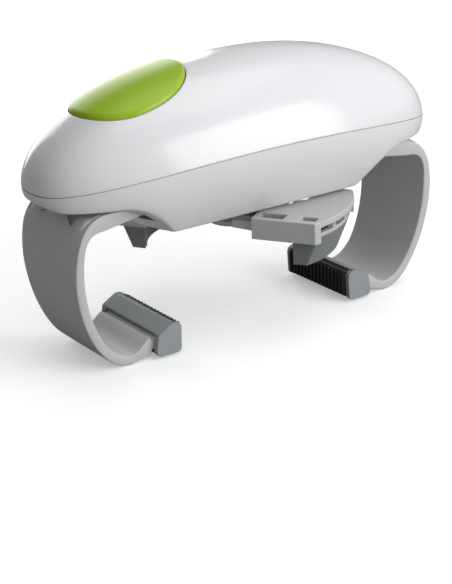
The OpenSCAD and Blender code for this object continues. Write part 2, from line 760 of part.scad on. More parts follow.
module ring_cover() color([0.75, 0.74, 0.70]) difference() {
    translate([0, 0, ring_top]) cylinder(h = ring_cover_t, r = ring_r);
    translate([0, 0, ring_top - 1]) cylinder(h = ring_cover_t + 2, r = shaft_r + 0.5);
}

module planet_carrier() color(steel) difference() {
    translate([0, 0, carrier_z]) cylinder(h = carrier_t, r = planet_orbit + 3.4);
    translate([0, 0, carrier_z - 1]) cylinder(h = carrier_t + 2, r = 2 + shaft_gap);
    for (dir = planet_dirs)
        translate([planet_orbit * cos(dir), planet_orbit * sin(dir), carrier_z - 1])
            cylinder(h = carrier_t + 2, r = planet_pin_r);
}

module planet_pins() color(steel) {
    for (dir = planet_dirs)
        translate([planet_orbit * cos(dir), planet_orbit * sin(dir), carrier_z])
            cylinder(h = planet_z + planet_h - 0.1 - carrier_z, r = planet_pin_r);
}

// ---- turntable and jaws ---------------------------------------------------

jaw_lip = 2;
claw_in = lid_d / 2;
claw_out = claw_in + claw_t;
jaw_reach = claw_out + jaw_lip;
jaw_top_z = disc_z - slide_gap;
jaw_plate_z = jaw_top_z - jaw_top_t;
jaw_bottom_z = jaw_top_z - jaw_h;
tongue_top = jaw_plate_z;
tongue_t = 3.2;
tongue_z = tongue_top - tongue_t;
guide_t = 1.4;
guide_len = 42;
guide_wid = 34;
lid_boss_r = 12.5;
lid_boss_z = jaw_bottom_z - slide_gap;
guide_z = tongue_z - slide_gap - guide_t;
rack_r = jaw_mod * rack_teeth / 2;
tongue_wid = 7;
tongue_end = 16;
jaw_close = 26;
jaw_screw_r = 2.5;
skirt_t = 2.4;
jaw_near = 18.8;
jaw_slant = 6;
jaw_far = 2 * jaw_close + 0.6 - jaw_near;

module turntable() color(jaw_grey) rotate([0, 0, jaw_angle]) difference() {
    union() {
        translate([0, 0, disc_z]) cylinder(h = disc_t, r = disc_d / 2);
        translate([0, 0, disc_z]) cylinder(h = carrier_z - disc_z, r = hub_r);
    }
    translate([0, 0, disc_z - 1]) cylinder(h = 20, r = 2 + shaft_gap);
    translate([0, 0, disc_z - 1]) cylinder(h = 1 + 1.2, r = jaw_screw_r);
}

module jaw_screw() color(steel) {
    translate([0, 0, lid_boss_z + 0.4])
        cylinder(h = disc_z + 1.2 - lid_boss_z - 0.4, r = jaw_screw_r);
}

module jaw_guide() color(jaw_grey) rotate([0, 0, jaw_angle]) difference() {
    union() {
        translate([-guide_len / 2, -guide_wid / 2, guide_z]) cube([guide_len, guide_wid, guide_t]);
        translate([0, 0, lid_boss_z]) cylinder(h = guide_z + 0.5 - lid_boss_z, r = lid_boss_r);
        for (side = [-1, 1])
            translate([-guide_len / 2, side * (rack_r + tongue_wid + slide_gap + 1.2) - 1.2, guide_z])
                cube([guide_len, 2.4, guide_t + tongue_t]);
    }
    translate([0, 0, lid_boss_z - 1]) cylinder(h = 12, r = jaw_screw_r);
}

module jaw_pinion() color(gear_white) rotate([0, 0, jaw_angle])
    translate([0, 0, tongue_z]) difference() {
        gear(jaw_mod, rack_teeth, tongue_t - 0.2, 90);
        translate([0, 0, -1]) cylinder(h = 10, r = jaw_screw_r + shaft_gap);
    }

slot_wid = 10;
slot_places = [-16.4, -3.6, 9.5];
claw_top = jaw_bottom_z + 2.2;
claw_bottom = jaw_bottom_z - claw_drop;

// the jaw's plate seen from above: a wide end and a longer shoulder on its near side, with a
// slanted edge between them, so that two of them fit together round the screw when closed
module jaw_outline(grow) {
    notch_r = jaw_screw_r + 2 * slide_gap;
    difference() {
        intersection() {
            circle(r = jaw_reach + grow, $fn = 128);
            polygon([[jaw_near, -jaw_wid / 2 - grow], [jaw_reach + 5, -jaw_wid / 2 - grow],
                [jaw_reach + 5, jaw_wid / 2 + grow], [jaw_far, jaw_wid / 2 + grow],
                [jaw_far, jaw_slant], [jaw_near, -jaw_slant]]);
        }
        translate([jaw_close, 0]) circle(r = notch_r);
        translate([0, -notch_r]) square([jaw_close, 2 * notch_r]);
    }
}

// the frame of a jaw: plate, side skirts, end wall with its slots, and the rack
module jaw_frame() {
    side_end = 2 * jaw_close - claw_in - 2.4;
    difference() {
        translate([0, 0, jaw_bottom_z]) linear_extrude(jaw_h) jaw_outline(0);
        translate([0, -jaw_wid / 2 + skirt_t, jaw_bottom_z - 1])
            cube([claw_in + 3.4, jaw_wid - 2 * skirt_t, jaw_h - jaw_top_t + 1]);
        intersection() {
            translate([0, 0, jaw_bottom_z - 1]) cylinder(h = jaw_h - jaw_top_t + 1, r = claw_out - 2.6);
            translate([0, -jaw_wid / 2 + skirt_t, jaw_bottom_z - 1])
                cube([80, jaw_wid - 2 * skirt_t, jaw_h]);
        }
        // the end wall stands back under the plate's lip
        difference() {
            translate([20, -jaw_wid / 2 + 3.4, jaw_bottom_z - 1])
                cube([60, jaw_wid - 6.8, jaw_h - 2.8 + 1]);
            translate([0, 0, jaw_bottom_z - 2]) cylinder(h = jaw_h + 2, r = claw_out);
        }
        // seat of the claw
        translate([20, -claw_wid / 2 - 0.1, jaw_bottom_z - 1])
            cube([60, claw_wid + 0.2, claw_top - jaw_bottom_z + 1]);
        for (y = slot_places)
            translate([20, y - slot_wid / 2, tongue_z - 0.3]) cube([60, slot_wid, tongue_t + 0.3]);
        translate([jaw_near + 2.2, -jaw_wid / 2 + 2.6, jaw_plate_z - 1]) cube([12, 6.2, jaw_top_t + 2]);
        translate([claw_out - 13.1, -jaw_wid / 2 + 3.4, jaw_plate_z - 1]) cube([7.5, 5.2, jaw_top_t + 2]);
    }
    // rack on its tongue, fixed under the plate
    translate([0, -rack_r, tongue_z]) linear_extrude(tongue_t)
        rack_2d(jaw_mod, -tongue_end, 41, tongue_wid);
    translate([jaw_near + 0.5, -rack_r - tongue_wid, tongue_z])
        cube([22, tongue_wid - 1, tongue_t + 0.6]);
    // the side's inner end slides inside the other jaw
    translate([0, -claw_wid / 2 - slide_gap, 0]) rotate([90, 0, 0])
        linear_extrude((jaw_wid - claw_wid) / 2 - skirt_t - 2 * slide_gap)
            polygon([[side_end, tongue_top - slide_gap], [side_end, lid_boss_z + 4],
            [jaw_near + 2, lid_boss_z + 3], [jaw_near + 2, tongue_top - slide_gap]]);
    translate([jaw_near + 0.2, -jaw_wid / 2 + skirt_t - 0.1, lid_boss_z + 3])
        cube([1.8, (jaw_wid - claw_wid) / 2 - skirt_t + 0.1 - slide_gap, tongue_top + 0.1 - lid_boss_z - 3]);
}

claw_ribs = 15;

// a claw is a curved wedge with ribs on the side that grips
module claw() {
    difference() {
        intersection() {
            translate([0, 0, claw_bottom])
                cylinder(h = claw_top - claw_bottom, r1 = claw_out - 5.6, r2 = claw_out);
            translate([20, -claw_wid / 2, claw_bottom]) cube([60, claw_wid, claw_top - claw_bottom]);
        }
        translate([0, 0, claw_bottom - 1])
            cylinder(h = claw_top - claw_bottom + 2, r = claw_in + 0.8);
    }
    step = 2 * asin((claw_wid / 2 - 2) / claw_in) / (claw_ribs - 1);
    for (i = [0:claw_ribs - 1]) rotate([0, 0, (i - (claw_ribs - 1) / 2) * step])
        translate([claw_in, -0.5, claw_bottom + 0.6])
            cube([2, 1, claw_top - claw_bottom - 1.2]);
}

module front_jaw() color(jaw_grey) rotate([0, 0, jaw_angle]) jaw_frame();
module rear_jaw() color(jaw_grey) rotate([0, 0, jaw_angle + 180]) jaw_frame();
module front_claw() color(claw_grey) rotate([0, 0, jaw_angle]) claw();
module rear_claw() color(claw_grey) rotate([0, 0, jaw_angle + 180]) claw();

// ---- arms -----------------------------------------------------------------

arm_mid_z = 47;
barrel_r = 4.2;
foot_top = pad_pin_z + barrel_r + 1.5;
rack_pitch_r = arm_mod * rack_teeth / 2;
rack_back = rack_pitch_r + 7;
rack_end = 14;

// point on a cubic curve with the four handles p
function cubic(p, t) = pow(1 - t, 3) * p[0] + 3 * pow(1 - t, 2) * t * p[1]
    + 3 * (1 - t) * t * t * p[2] + t * t * t * p[3];

// direction of that curve, turned to its right and made one unit long
function cubic_right(p, t) = let (
    d = pow(1 - t, 2) * (p[1] - p[0]) + 2 * (1 - t) * t * (p[2] - p[1]) + t * t * (p[3] - p[2]))
    [d.y, -d.x] / norm(d);

shoulder = [[arm_reach - 18.8, arm_top], [arm_reach - 6.8, arm_top],
    [arm_reach - 0.5, arm_top - 7.7], [arm_reach, arm_mid_z]];
flank = [[arm_reach, arm_mid_z], [arm_reach + 0.2, 30], [arm_reach - 8.8, 0.2],
    [arm_reach - 26.8, 0]];
inner_shoulder = [[arm_reach - arm_t, arm_mid_z], [arm_reach - arm_t, arm_mid_z + 12],
    [arm_reach - arm_t - 0.4, arm_top - arm_bend], [arm_reach - 14.6, arm_top - arm_bend]];
scoop = [[arm_foot_x, pad_pin_z + barrel_r - 0.3], [arm_foot_x + 3.5, pad_pin_z + barrel_r - 2],
    [arm_reach - 31, arm_t + 0.6], [arm_reach - 26.8, arm_t]];
curve_steps = 12;
rail_y = 18.6;
rail_wid = 7;
rail_gap = 2.2;
rail_h = 1.4;
rail_steps = 8;

// side view of an arm from the plate's end round to its foot
module arm_profile() {
    polygon(concat([[arm_plate_end, arm_bottom], [arm_plate_end, arm_top]],
        [for (i = [0:curve_steps]) cubic(shoulder, i / curve_steps)],
        [for (i = [1:curve_steps]) cubic(flank, i / curve_steps)],
        [[arm_foot_x, pad_pin_z - barrel_r + 0.3], [pad_pin_x, pad_pin_z - barrel_r + 0.4],
        [pad_pin_x, pad_pin_z + barrel_r - 0.4]],
        [for (i = [0:3]) cubic(scoop, i / 4)],
        [for (i = [curve_steps:-1:1])
            cubic(flank, i / curve_steps) + arm_t * cubic_right(flank, i / curve_steps)],
        [for (i = [0:curve_steps]) cubic(inner_shoulder, i / curve_steps)]));
}

// side view of the recess between the rails, down to their rounded ends
module recess_profile(depth) {
    polygon(concat([[arm_plate_end - 1, arm_top + 5], [arm_plate_end - 1, arm_top - depth]],
        [for (i = [0:rail_steps]) let (t = 0.62 * i / rail_steps)
            cubic(shoulder, t) + depth * cubic_right(shoulder, t)],
        [cubic(shoulder, 0.7) + [1, 0], [arm_reach + 5, arm_top + 5]]));
}

module arm_body() {
    difference() {
        union() {
            intersection() {
                rotate([90, 0, 0]) linear_extrude(2 * arm_top_wid, center = true) arm_profile();
                // the band narrows towards its foot
                rotate([90, 0, 90]) linear_extrude(2 * arm_reach)
                    polygon([[-arm_top_wid / 2, 100], [-arm_top_wid / 2, 62],
                    [-arm_foot_wid / 2, foot_top], [-arm_foot_wid / 2, -5], [arm_foot_wid / 2, -5],
                    [arm_foot_wid / 2, foot_top], [arm_top_wid / 2, 62], [arm_top_wid / 2, 100]]);
            }
            translate([pad_pin_x, 0, pad_pin_z]) rotate([90, 0, 0])
                cylinder(h = arm_foot_wid, r = barrel_r, center = true);
        }
        translate([pad_pin_x, 0, pad_pin_z]) rotate([90, 0, 0])
            cylinder(h = 80, r = pad_pin_d / 2, center = true);
        rotate([90, 0, 0]) linear_extrude(2 * rail_y - rail_wid, center = true)
            recess_profile(rail_h);
        for (side = [-1, 1])
            translate([0, side * (rail_y + rail_wid / 2 + rail_gap / 2), 0]) rotate([90, 0, 0])
                linear_extrude(rail_gap, center = true) recess_profile(rail_h);
    }
    translate([0, rack_pitch_r, arm_bottom]) linear_extrude(arm_plate_t)
        mirror([0, 1]) rack_2d(arm_mod, -rack_end, arm_plate_end + 1, rack_back - rack_pitch_r);
}

module right_arm() color(arm_grey) arm_body();
module left_arm() color(arm_grey) rotate([0, 0, 180]) arm_body();

module arm_pinion() color(gear_white) translate([0, 0, ring_top + ring_cover_t + 0.2]) difference() {
    gear(arm_mod, rack_teeth, deck_z - ring_top - ring_cover_t - 0.4, 90);
    translate([0, 0, -1]) cylinder(h = 12, r = shaft_r + shaft_gap);
}

// ---- pads -----------------------------------------------------------------

pad_z = 1.2;
pad_seat_wid = pad_wid - 5;
rib_h = 1.2;
rib_wid = 1.3;
pad_back_x = pad_face_x + rib_h + pad_t;
holder_edge = arm_foot_x - 3;
pin_len = pad_wid - 2.4;

// outline with its corners rounded, each corner as [x, y, radius], taken anticlockwise
module rounded(corners) {
    n = len(corners);
    polygon([for (i = [0:n - 1]) let (
        p = corners[i],
        a = corners[(i + n - 1) % n],
        b = corners[(i + 1) % n],
        c = [p.x, p.y],
        ua = ([a.x, a.y] - c) / norm([a.x, a.y] - c),
        ub = ([b.x, b.y] - c) / norm([b.x, b.y] - c),
        half = acos(ua * ub) / 2,
        mid = c + (ua + ub) / norm(ua + ub) * p.z / sin(half),
        start = c + ua * p.z / tan(half) - mid)
        for (k = [0:6]) let (t = k * (180 - 2 * half) / 6)
            mid + [start.x * cos(t) - start.y * sin(t), start.x * sin(t) + start.y * cos(t)]]);
}

// side view of a pad holder, seen with the pad on the left
module holder_profile() {
    x0 = pad_face_x + 0.8;
    top = pad_z + pad_h;
    rounded([[x0 + 0.6, pad_z, 2], [holder_edge + 2, pad_z, 2.6],
        [holder_edge + 0.3, pad_pin_z + barrel_r + 1, 1.6], [x0 + 4.5, top, 3.5], [x0, top - 1, 3]]);
}

module pad_holder() difference() {
    rotate([90, 0, 0]) linear_extrude(pad_wid, center = true) holder_profile();
    translate([pad_back_x - 20, -pad_seat_wid / 2, -1]) cube([20, pad_seat_wid, 40]);
    translate([pad_pin_x, 0, pad_pin_z]) rotate([90, 0, 0])
        cylinder(h = arm_foot_wid + 2 * slide_gap, r = barrel_r + slide_gap, center = true);
    translate([holder_edge, -arm_foot_wid / 2 - slide_gap, pad_z - 1])
        cube([20, arm_foot_wid + 2 * slide_gap, 40]);
    translate([pad_pin_x, 0, pad_pin_z]) rotate([90, 0, 0])
        cylinder(h = pin_len + 0.4, r = pad_pin_d / 2 + shaft_gap, center = true);
}

// rubber pad with upright ribs on the face that grips
module pad() {
    width = pad_seat_wid;
    height = pad_h - 2.4;
    translate([pad_back_x - pad_t, -width / 2, pad_z + 1.2]) cube([pad_t, width, height]);
    step = (width - 1 - rib_wid) / (pad_ribs - 1);
    for (i = [0:pad_ribs - 1])
        translate([pad_face_x, -width / 2 + 0.5 + i * step, pad_z + 1.8])
            cube([rib_h + 0.5, rib_wid, height - 1.2]);
}

module pad_pin() translate([pad_pin_x, 0, pad_pin_z]) rotate([90, 0, 0])
    cylinder(h = pin_len, r = pad_pin_d / 2, center = true);

module right_pad_holder() color(holder_grey) pad_holder();
module left_pad_holder() color(holder_grey) rotate([0, 0, 180]) pad_holder();
module right_pad() color(rubber_black) pad();
module left_pad() color(rubber_black) rotate([0, 0, 180]) pad();
module right_pad_pin() color(steel) pad_pin();
module left_pad_pin() color(steel) rotate([0, 0, 180]) pad_pin();

upper_shell();
lower_shell();
battery_cover();
button();
button_spring();
button_switch();
circuit_board();
battery_tray();
battery_front();
battery_rear();
battery_contacts();
motor();
motor_plate();
motor_pinion();
fast_gear();
slow_gear();
gear_axles();
gear_deck();
sun_gear();
ring_gear();
ring_cover();
planet_gear_1();
planet_gear_2();
planet_gear_3();
planet_carrier();
planet_pins();
turntable();
jaw_guide();
jaw_pinion();
jaw_screw();
front_jaw();
rear_jaw();
front_claw();
rear_claw();
right_arm();
left_arm();
arm_pinion();
right_pad_holder();
left_pad_holder();
right_pad();
left_pad();
right_pad_pin();
left_pad_pin();
shell_screws();
deck_screws();
motor_screws();
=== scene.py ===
# %% [markdown]
# # The looks of a battery-powered lid opener
# The opener is a long domed body with a round button, two bent arms with
# rubber pads, and a turntable with two jaws under the keel.
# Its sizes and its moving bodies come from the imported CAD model. This lesson
# builds the smooth skins round that frame and gives each piece its finish.

import math

import bmesh
import bpy
import numpy as np
from mathutils import Matrix, Vector


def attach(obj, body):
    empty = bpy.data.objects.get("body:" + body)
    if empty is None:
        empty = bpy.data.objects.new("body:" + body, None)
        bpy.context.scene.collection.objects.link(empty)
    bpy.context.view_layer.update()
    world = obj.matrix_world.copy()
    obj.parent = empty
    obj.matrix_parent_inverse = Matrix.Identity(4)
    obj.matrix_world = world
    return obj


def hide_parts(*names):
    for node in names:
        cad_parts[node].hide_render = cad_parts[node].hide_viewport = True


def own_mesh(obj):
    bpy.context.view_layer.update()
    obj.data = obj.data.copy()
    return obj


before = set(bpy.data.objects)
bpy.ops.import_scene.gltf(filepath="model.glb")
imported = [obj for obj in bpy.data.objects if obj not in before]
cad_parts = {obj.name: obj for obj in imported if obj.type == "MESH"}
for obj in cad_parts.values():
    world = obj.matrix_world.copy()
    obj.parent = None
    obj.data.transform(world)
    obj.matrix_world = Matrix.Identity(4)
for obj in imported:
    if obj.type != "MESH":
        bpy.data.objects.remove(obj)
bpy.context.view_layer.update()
scene = bpy.context.scene
scene.view_settings.view_transform = "Standard"
MM = 0.001

# %% [markdown]
# ## Finishes
# Almost everything on the opener is moulded plastic, so one node group makes
# the moulded skin: a fine grain for the bump, a slow cloud for the gloss and a
# faint tint. A group is built once and placed in each material with values of
# its own, which keeps the finishes related, as parts of one product are.

# %% The moulded skin group
def new_group(name, inputs, outputs):
    """Node group with float sockets: inputs as (name, default), outputs as names."""
    group = bpy.data.node_groups.new(name, "ShaderNodeTree")
    for label, default in inputs:
        socket = group.interface.new_socket(label, in_out="INPUT", socket_type="NodeSocketFloat")
        socket.default_value = default
    for label in outputs:
        group.interface.new_socket(label, in_out="OUTPUT", socket_type="NodeSocketFloat")
    return group, group.nodes.new("NodeGroupInput"), group.nodes.new("NodeGroupOutput")


skin, skin_in, skin_out = new_group(
    "moulded_skin",
    [("Grain Scale", 2500.0), ("Roughness", 0.4), ("Roughness Swing", 0.06)],
    ["Grain", "Cloud", "Roughness"],
)
coords = skin.nodes.new("ShaderNodeTexCoord")
grain = skin.nodes.new("ShaderNodeTexNoise")
grain.inputs["Detail"].default_value = 3.0
cloud = skin.nodes.new("ShaderNodeTexNoise")
cloud.inputs["Scale"].default_value = 38.0
cloud.inputs["Detail"].default_value = 4.0
swing = skin.nodes.new("ShaderNodeMath")
swing.operation = "SUBTRACT"
swing.inputs[1].default_value = 0.5
gloss = skin.nodes.new("ShaderNodeMath")
gloss.operation = "MULTIPLY_ADD"
for a, b in [
    (coords.outputs["Object"], grain.inputs["Vector"]),
    (coords.outputs["Object"], cloud.inputs["Vector"]),
    (skin_in.outputs["Grain Scale"], grain.inputs["Scale"]),
    (cloud.outputs["Fac"], swing.inputs[0]),
    (swing.outputs[0], gloss.inputs[0]),
    (skin_in.outputs["Roughness Swing"], gloss.inputs[1]),
    (skin_in.outputs["Roughness"], gloss.inputs[2]),
    (grain.outputs["Fac"], skin_out.inputs["Grain"]),
    (cloud.outputs["Fac"], skin_out.inputs["Cloud"]),
    (gloss.outputs[0], skin_out.inputs["Roughness"]),
]:
    skin.links.new(a, b)
print("group", skin.name, "with", len(skin.nodes), "nodes")

# %% [markdown]
# ## Worn and highlit edges
# Each piece goes a little paler along its edges: partly the rub of handled
# plastic, partly a painted highlight, the light that a rounded edge would catch.
# The Bevel node gives the normal that a rounded edge would have, so where it
# turns away from the true normal there is an edge. The group turns that angle
# into a mask, which needs no extra mesh and works on every piece.

# %% The worn edge group
EDGE_REACH = 0.5
# Mask for paler edges: wear, and a painted highlight on every edge.
edge, edge_in, edge_out = new_group("worn_and_highlit_edge", [("Strength", 2.2)], ["Mask"])
round_off = edge.nodes.new("ShaderNodeBevel")
round_off.samples = 4
round_off.inputs["Radius"].default_value = EDGE_REACH * MM
geometry = edge.nodes.new("ShaderNodeNewGeometry")
agree = edge.nodes.new("ShaderNodeVectorMath")
agree.operation = "DOT_PRODUCT"
differ = edge.nodes.new("ShaderNodeMath")
differ.operation = "SUBTRACT"
differ.inputs[0].default_value = 1.0
gain = edge.nodes.new("ShaderNodeMath")
gain.operation = "MULTIPLY"
gain.use_clamp = True
for a, b in [
    (round_off.outputs["Normal"], agree.inputs[0]),
    (geometry.outputs["Normal"], agree.inputs[1]),
    (agree.outputs["Value"], differ.inputs[1]),
    (differ.outputs[0], gain.inputs[0]),
    (edge_in.outputs["Strength"], gain.inputs[1]),
    (gain.outputs[0], edge_out.inputs["Mask"]),
]:
    edge.links.new(a, b)
print("group", edge.name, "with", len(edge.nodes), "nodes")

# %% [markdown]
# ## One function for all finishes
# A finish is a Principled BSDF that gets its colour from two close tones mixed
# by the cloud, then a paler tone on edges, for wear and as a painted highlight.
# Fixed numbers, such as the coat's roughness, are set on the shader's own
# sockets, so that they survive an export to other programs.

# %% Make a finish
finishes = {}
COAT_ROUGH, GRAIN_DEPTH, WEAR_AND_HIGHLIGHT = 0.12, 0.2, 2.2


def finish(name, tone, tone_2, rough, swing=0.06, grain=2500.0, bump=0.02, worn_and_highlit=None,
           metal=0.0, coat=0.0):
    """Material from two linear tones, roughness and its swing, grain and bump depth."""
    material = bpy.data.materials.new(name)
    material.use_nodes = True
    tree = material.node_tree
    shader = tree.nodes["Principled BSDF"]
    shader.inputs["Metallic"].default_value = metal
    shader.inputs["Coat Weight"].default_value = coat
    shader.inputs["Coat Roughness"].default_value = COAT_ROUGH
    surface = tree.nodes.new("ShaderNodeGroup")
    surface.node_tree = skin
    surface.inputs["Grain Scale"].default_value = grain
    surface.inputs["Roughness"].default_value = rough
    surface.inputs["Roughness Swing"].default_value = swing
    tones = tree.nodes.new("ShaderNodeMix")
    tones.data_type = "RGBA"
    tones.inputs["A"].default_value = (*tone, 1.0)
    tones.inputs["B"].default_value = (*tone_2, 1.0)
    relief = tree.nodes.new("ShaderNodeBump")
    relief.inputs["Strength"].default_value = bump
    relief.inputs["Distance"].default_value = GRAIN_DEPTH * MM
    tree.links.new(surface.outputs["Cloud"], tones.inputs["Factor"])
    tree.links.new(surface.outputs["Roughness"], shader.inputs["Roughness"])
    tree.links.new(surface.outputs["Grain"], relief.inputs["Height"])
    tree.links.new(relief.outputs["Normal"], shader.inputs["Normal"])
    colour = tones.outputs["Result"]
    # Edges go paler: partly wear, partly a painted highlight.
    if worn_and_highlit is not None:
        mask = tree.nodes.new("ShaderNodeGroup")
        mask.node_tree = edge
        mask.inputs["Strength"].default_value = WEAR_AND_HIGHLIGHT
        pale = tree.nodes.new("ShaderNodeMix")
        pale.data_type = "RGBA"
        pale.inputs["B"].default_value = (*worn_and_highlit, 1.0)
        tree.links.new(mask.outputs["Mask"], pale.inputs["Factor"])
        tree.links.new(colour, pale.inputs["A"])
        colour = pale.outputs["Result"]
    tree.links.new(colour, shader.inputs["Base Color"])
    finishes[name] = material


print("coat roughness", COAT_ROUGH, "and grain depth", GRAIN_DEPTH, "mm")

# %% [markdown]
# ## The colours
# The shells are gloss white, the button is leaf green with a satin sheen, and
# the arms, jaws and grips are greys of one family. Tones are linear values, so
# they look darker as numbers than they do on screen.

# %% Mix the finishes
finish("shell_white", (0.82, 0.82, 0.84), (0.79, 0.79, 0.81), 0.22, 0.05, bump=0.01, coat=0.35)
# The paler edge tones below stand for wear and are partly a painted highlight.
finish("button_green", (0.36, 0.54, 0.012), (0.31, 0.48, 0.010), 0.34, bump=0.05,
       worn_and_highlit=(0.47, 0.65, 0.03))
finish("arm_grey", (0.58, 0.58, 0.565), (0.54, 0.54, 0.525), 0.46, bump=0.10,
       worn_and_highlit=(0.72, 0.72, 0.71))
finish("jaw_grey", (0.55, 0.55, 0.55), (0.50, 0.50, 0.50), 0.42, bump=0.08,
       worn_and_highlit=(0.68, 0.68, 0.68))
finish("claw_grey", (0.22, 0.24, 0.23), (0.19, 0.21, 0.20), 0.55, bump=0.14,
       worn_and_highlit=(0.34, 0.36, 0.35))
finish("holder_grey", (0.32, 0.35, 0.36), (0.28, 0.31, 0.32), 0.5, bump=0.10,
       worn_and_highlit=(0.46, 0.49, 0.50))
finish("pad_rubber", (0.018, 0.018, 0.018), (0.026, 0.026, 0.025), 0.72, bump=0.3)
finish("gear_plastic", (0.70, 0.67, 0.58), (0.65, 0.62, 0.53), 0.4, bump=0.05)
finish("steel", (0.62, 0.63, 0.65), (0.55, 0.56, 0.58), 0.28, 0.12, grain=900.0, bump=0.04,
       metal=1.0)
finish("dark_plastic", (0.03, 0.03, 0.033), (0.04, 0.04, 0.042), 0.5, bump=0.1)
finish("board_green", (0.02, 0.12, 0.04), (0.015, 0.10, 0.035), 0.35)
finish("cell_wrap", (0.05, 0.07, 0.11), (0.04, 0.06, 0.10), 0.3, coat=0.3)
# Painted shade: the dark brownish tone of the parting line's groove and the battery bay's gap.
finish("seam_shade", (0.27, 0.21, 0.15), (0.23, 0.18, 0.13), 0.7)
print(len(finishes), "finishes")

# %% [markdown]
# ## Surfaces from formulas
# A skin is a grid of points with two parameters, worked out as whole arrays.
# Quads join the neighbours in the grid. Each row is a closed loop, the last row
# can join the first, and an open end is closed with one flat face.

# %% Turn a grid into a mesh
def grid_mesh(name, grid, wrap_rows=False, caps=True, flip=False):
    """Mesh from a grid of closed loops of points in mm.

    Each face joins row i to i + 1 and column k to k + 1. A flat face closes each
    open end, and flip turns all faces round.
    """
    rows, cols = grid.shape[:2]
    i, k = np.meshgrid(np.arange(rows if wrap_rows else rows - 1), np.arange(cols), indexing="ij")
    i2, k2 = (i + 1) % rows, (k + 1) % cols
    corners = [i * cols + k, i * cols + k2, i2 * cols + k2, i2 * cols + k]
    faces = np.stack(corners, -1).reshape(-1, 4).tolist()
    if caps and not wrap_rows:
        faces.append(list(range(cols))[::-1])
        faces.append(list(range((rows - 1) * cols, rows * cols)))
    if flip:
        faces = [f[::-1] for f in faces]
    mesh = bpy.data.meshes.new(name)
    mesh.from_pydata((grid.reshape(-1, 3) * MM).tolist(), [], faces)
    return mesh


trial = grid_mesh("trial", np.zeros((3, 4, 3)))
print("a grid of 3 loops of 4 points gives", len(trial.polygons), "faces")
bpy.data.meshes.remove(trial)

# %% [markdown]
# A piece needs more than its mesh: smooth shading that stops at real edges, a
# finish in its material slot, and the body that it rides on.
# One function does all of it, so that no piece is left without.

# %% Dress a piece
def shade(mesh, smooth=35.0):
    """Smooth shading, with a hard edge where faces meet at more than the angle."""
    mesh.shade_smooth()
    mesh.set_sharp_from_angle(angle=math.radians(smooth))


def dress(obj, slot, body, replaces=(), smooth=35.0):
    """Links the object and gives it its shading, its finish, its slot and its body."""
    scene.collection.objects.link(obj)
    shade(obj.data, smooth)
    obj.data.materials.clear()
    obj.data.materials.append(finishes[slot])
    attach(obj, body)
    if replaces:
        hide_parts(*replaces)
    return obj


def skin_of(name, grid, slot, body, replaces=(), smooth=35.0, **closing):
    """Piece from a grid of closed loops, closed as grid_mesh says."""
    mesh = grid_mesh(name, grid, **closing)
    return dress(bpy.data.objects.new(name, mesh), slot, body, replaces, smooth)


def weld(mesh, reach=1e-7):
    """Merges points closer than the reach in metres, so that no face is a sliver."""
    work = bmesh.new()
    work.from_mesh(mesh)
    bmesh.ops.remove_doubles(work, verts=work.verts, dist=reach)
    work.to_mesh(mesh)
    work.free()


print("pieces can be dressed in:", ", ".join(finishes))

# %% [markdown]
# ## The body's outline
# Seen from above the body is a superellipse, squarer than an ellipse. The
# parting line rises from the tips to the middle. The dome is an ellipsoid over
# that outline, whose edge follows the parting line.

# %% Formulas of the body
HALF_LEN, HALF_WID, ROUND = 105.0, 40.9, 2.43
SEAM_TIP, SEAM_RISE, DOME, WALL = 81.7, 9.6, 45.7, 2.2


def seam_z(x):
    """Parting line: the tip's height plus a parabola that peaks in the middle."""
    return SEAM_TIP + SEAM_RISE * (1 - (x / HALF_LEN) ** 2)


def share(x, y, d=0.0):
    """Superellipse distance: 0 on the axis and 1 on the outline, drawn in by d."""
    q = (np.abs(x) / (HALF_LEN - d)) ** ROUND + (np.abs(y) / (HALF_WID - d)) ** ROUND
    return np.minimum(1.0, q ** (1 / ROUND))


def dome_z(x, y, d=0.0):
    """Dome height: root of the rising edge to the fourth power plus an ellipse."""
    q = share(x, y, d)
    return SEAM_TIP + np.sqrt(
        (seam_z(x) - SEAM_TIP) ** 2 * q**4 + (DOME - d) ** 2 * np.maximum(0, 1 - q * q)
    )


def oval(a, b, n, t):
    """Superellipse point at the angle t: signed powers of cosine and sine."""
    c, s = np.cos(t), np.sin(t)
    return (
        a * np.sign(c) * np.abs(c) ** (2 / n),
        b * np.sign(s) * np.abs(s) ** (2 / n),
    )


def even_oval(a, b, n, count, steps=20000):
    """Points of a superellipse at even steps along its length."""
    x, y = oval(a, b, n, np.linspace(0, 2 * np.pi, steps + 1))
    run = np.concatenate([[0], np.cumsum(np.hypot(np.diff(x), np.diff(y)))])
    at = np.linspace(0, run[-1], count, endpoint=False)
    return np.interp(at, run, x), np.interp(at, run, y)


print("dome top at", round(float(dome_z(np.array(0.0), np.array(0.0))), 1), "mm")

# %% [markdown]
# ## The upper shell
# The dome has a well for the button. Cutting the well with a Boolean would
# leave a hard rim, so the grid itself starts in the well, rolls over a small
# lip and then runs out along rays to the parting line. The same rays lead back
# inside, one wall thickness in, and close the shell.

# %% Rows of the well and the dome
BUTTON_X, BUTTON_A, BUTTON_B, BUTTON_N, GAP = -54.0, 26.0, 22.0, 2.2, 0.4
GROOVE, LIP = 0.5, 0.45
COLS, OUTER_ROWS, INNER_ROWS = 480, 95, 23
edge_x, edge_y = even_oval(HALF_LEN, HALF_WID, ROUND, COLS)
ray = np.arctan2(edge_y, edge_x - BUTTON_X)


def well_point(grow):
    """Point of the well's outline, grown by a distance, along each ray."""
    r = (
        np.abs(np.cos(ray) / (BUTTON_A + grow)) ** BUTTON_N
        + np.abs(np.sin(ray) / (BUTTON_B + grow)) ** BUTTON_N
    ) ** (-1 / BUTTON_N)
    return BUTTON_X + r * np.cos(ray), r * np.sin(ray)


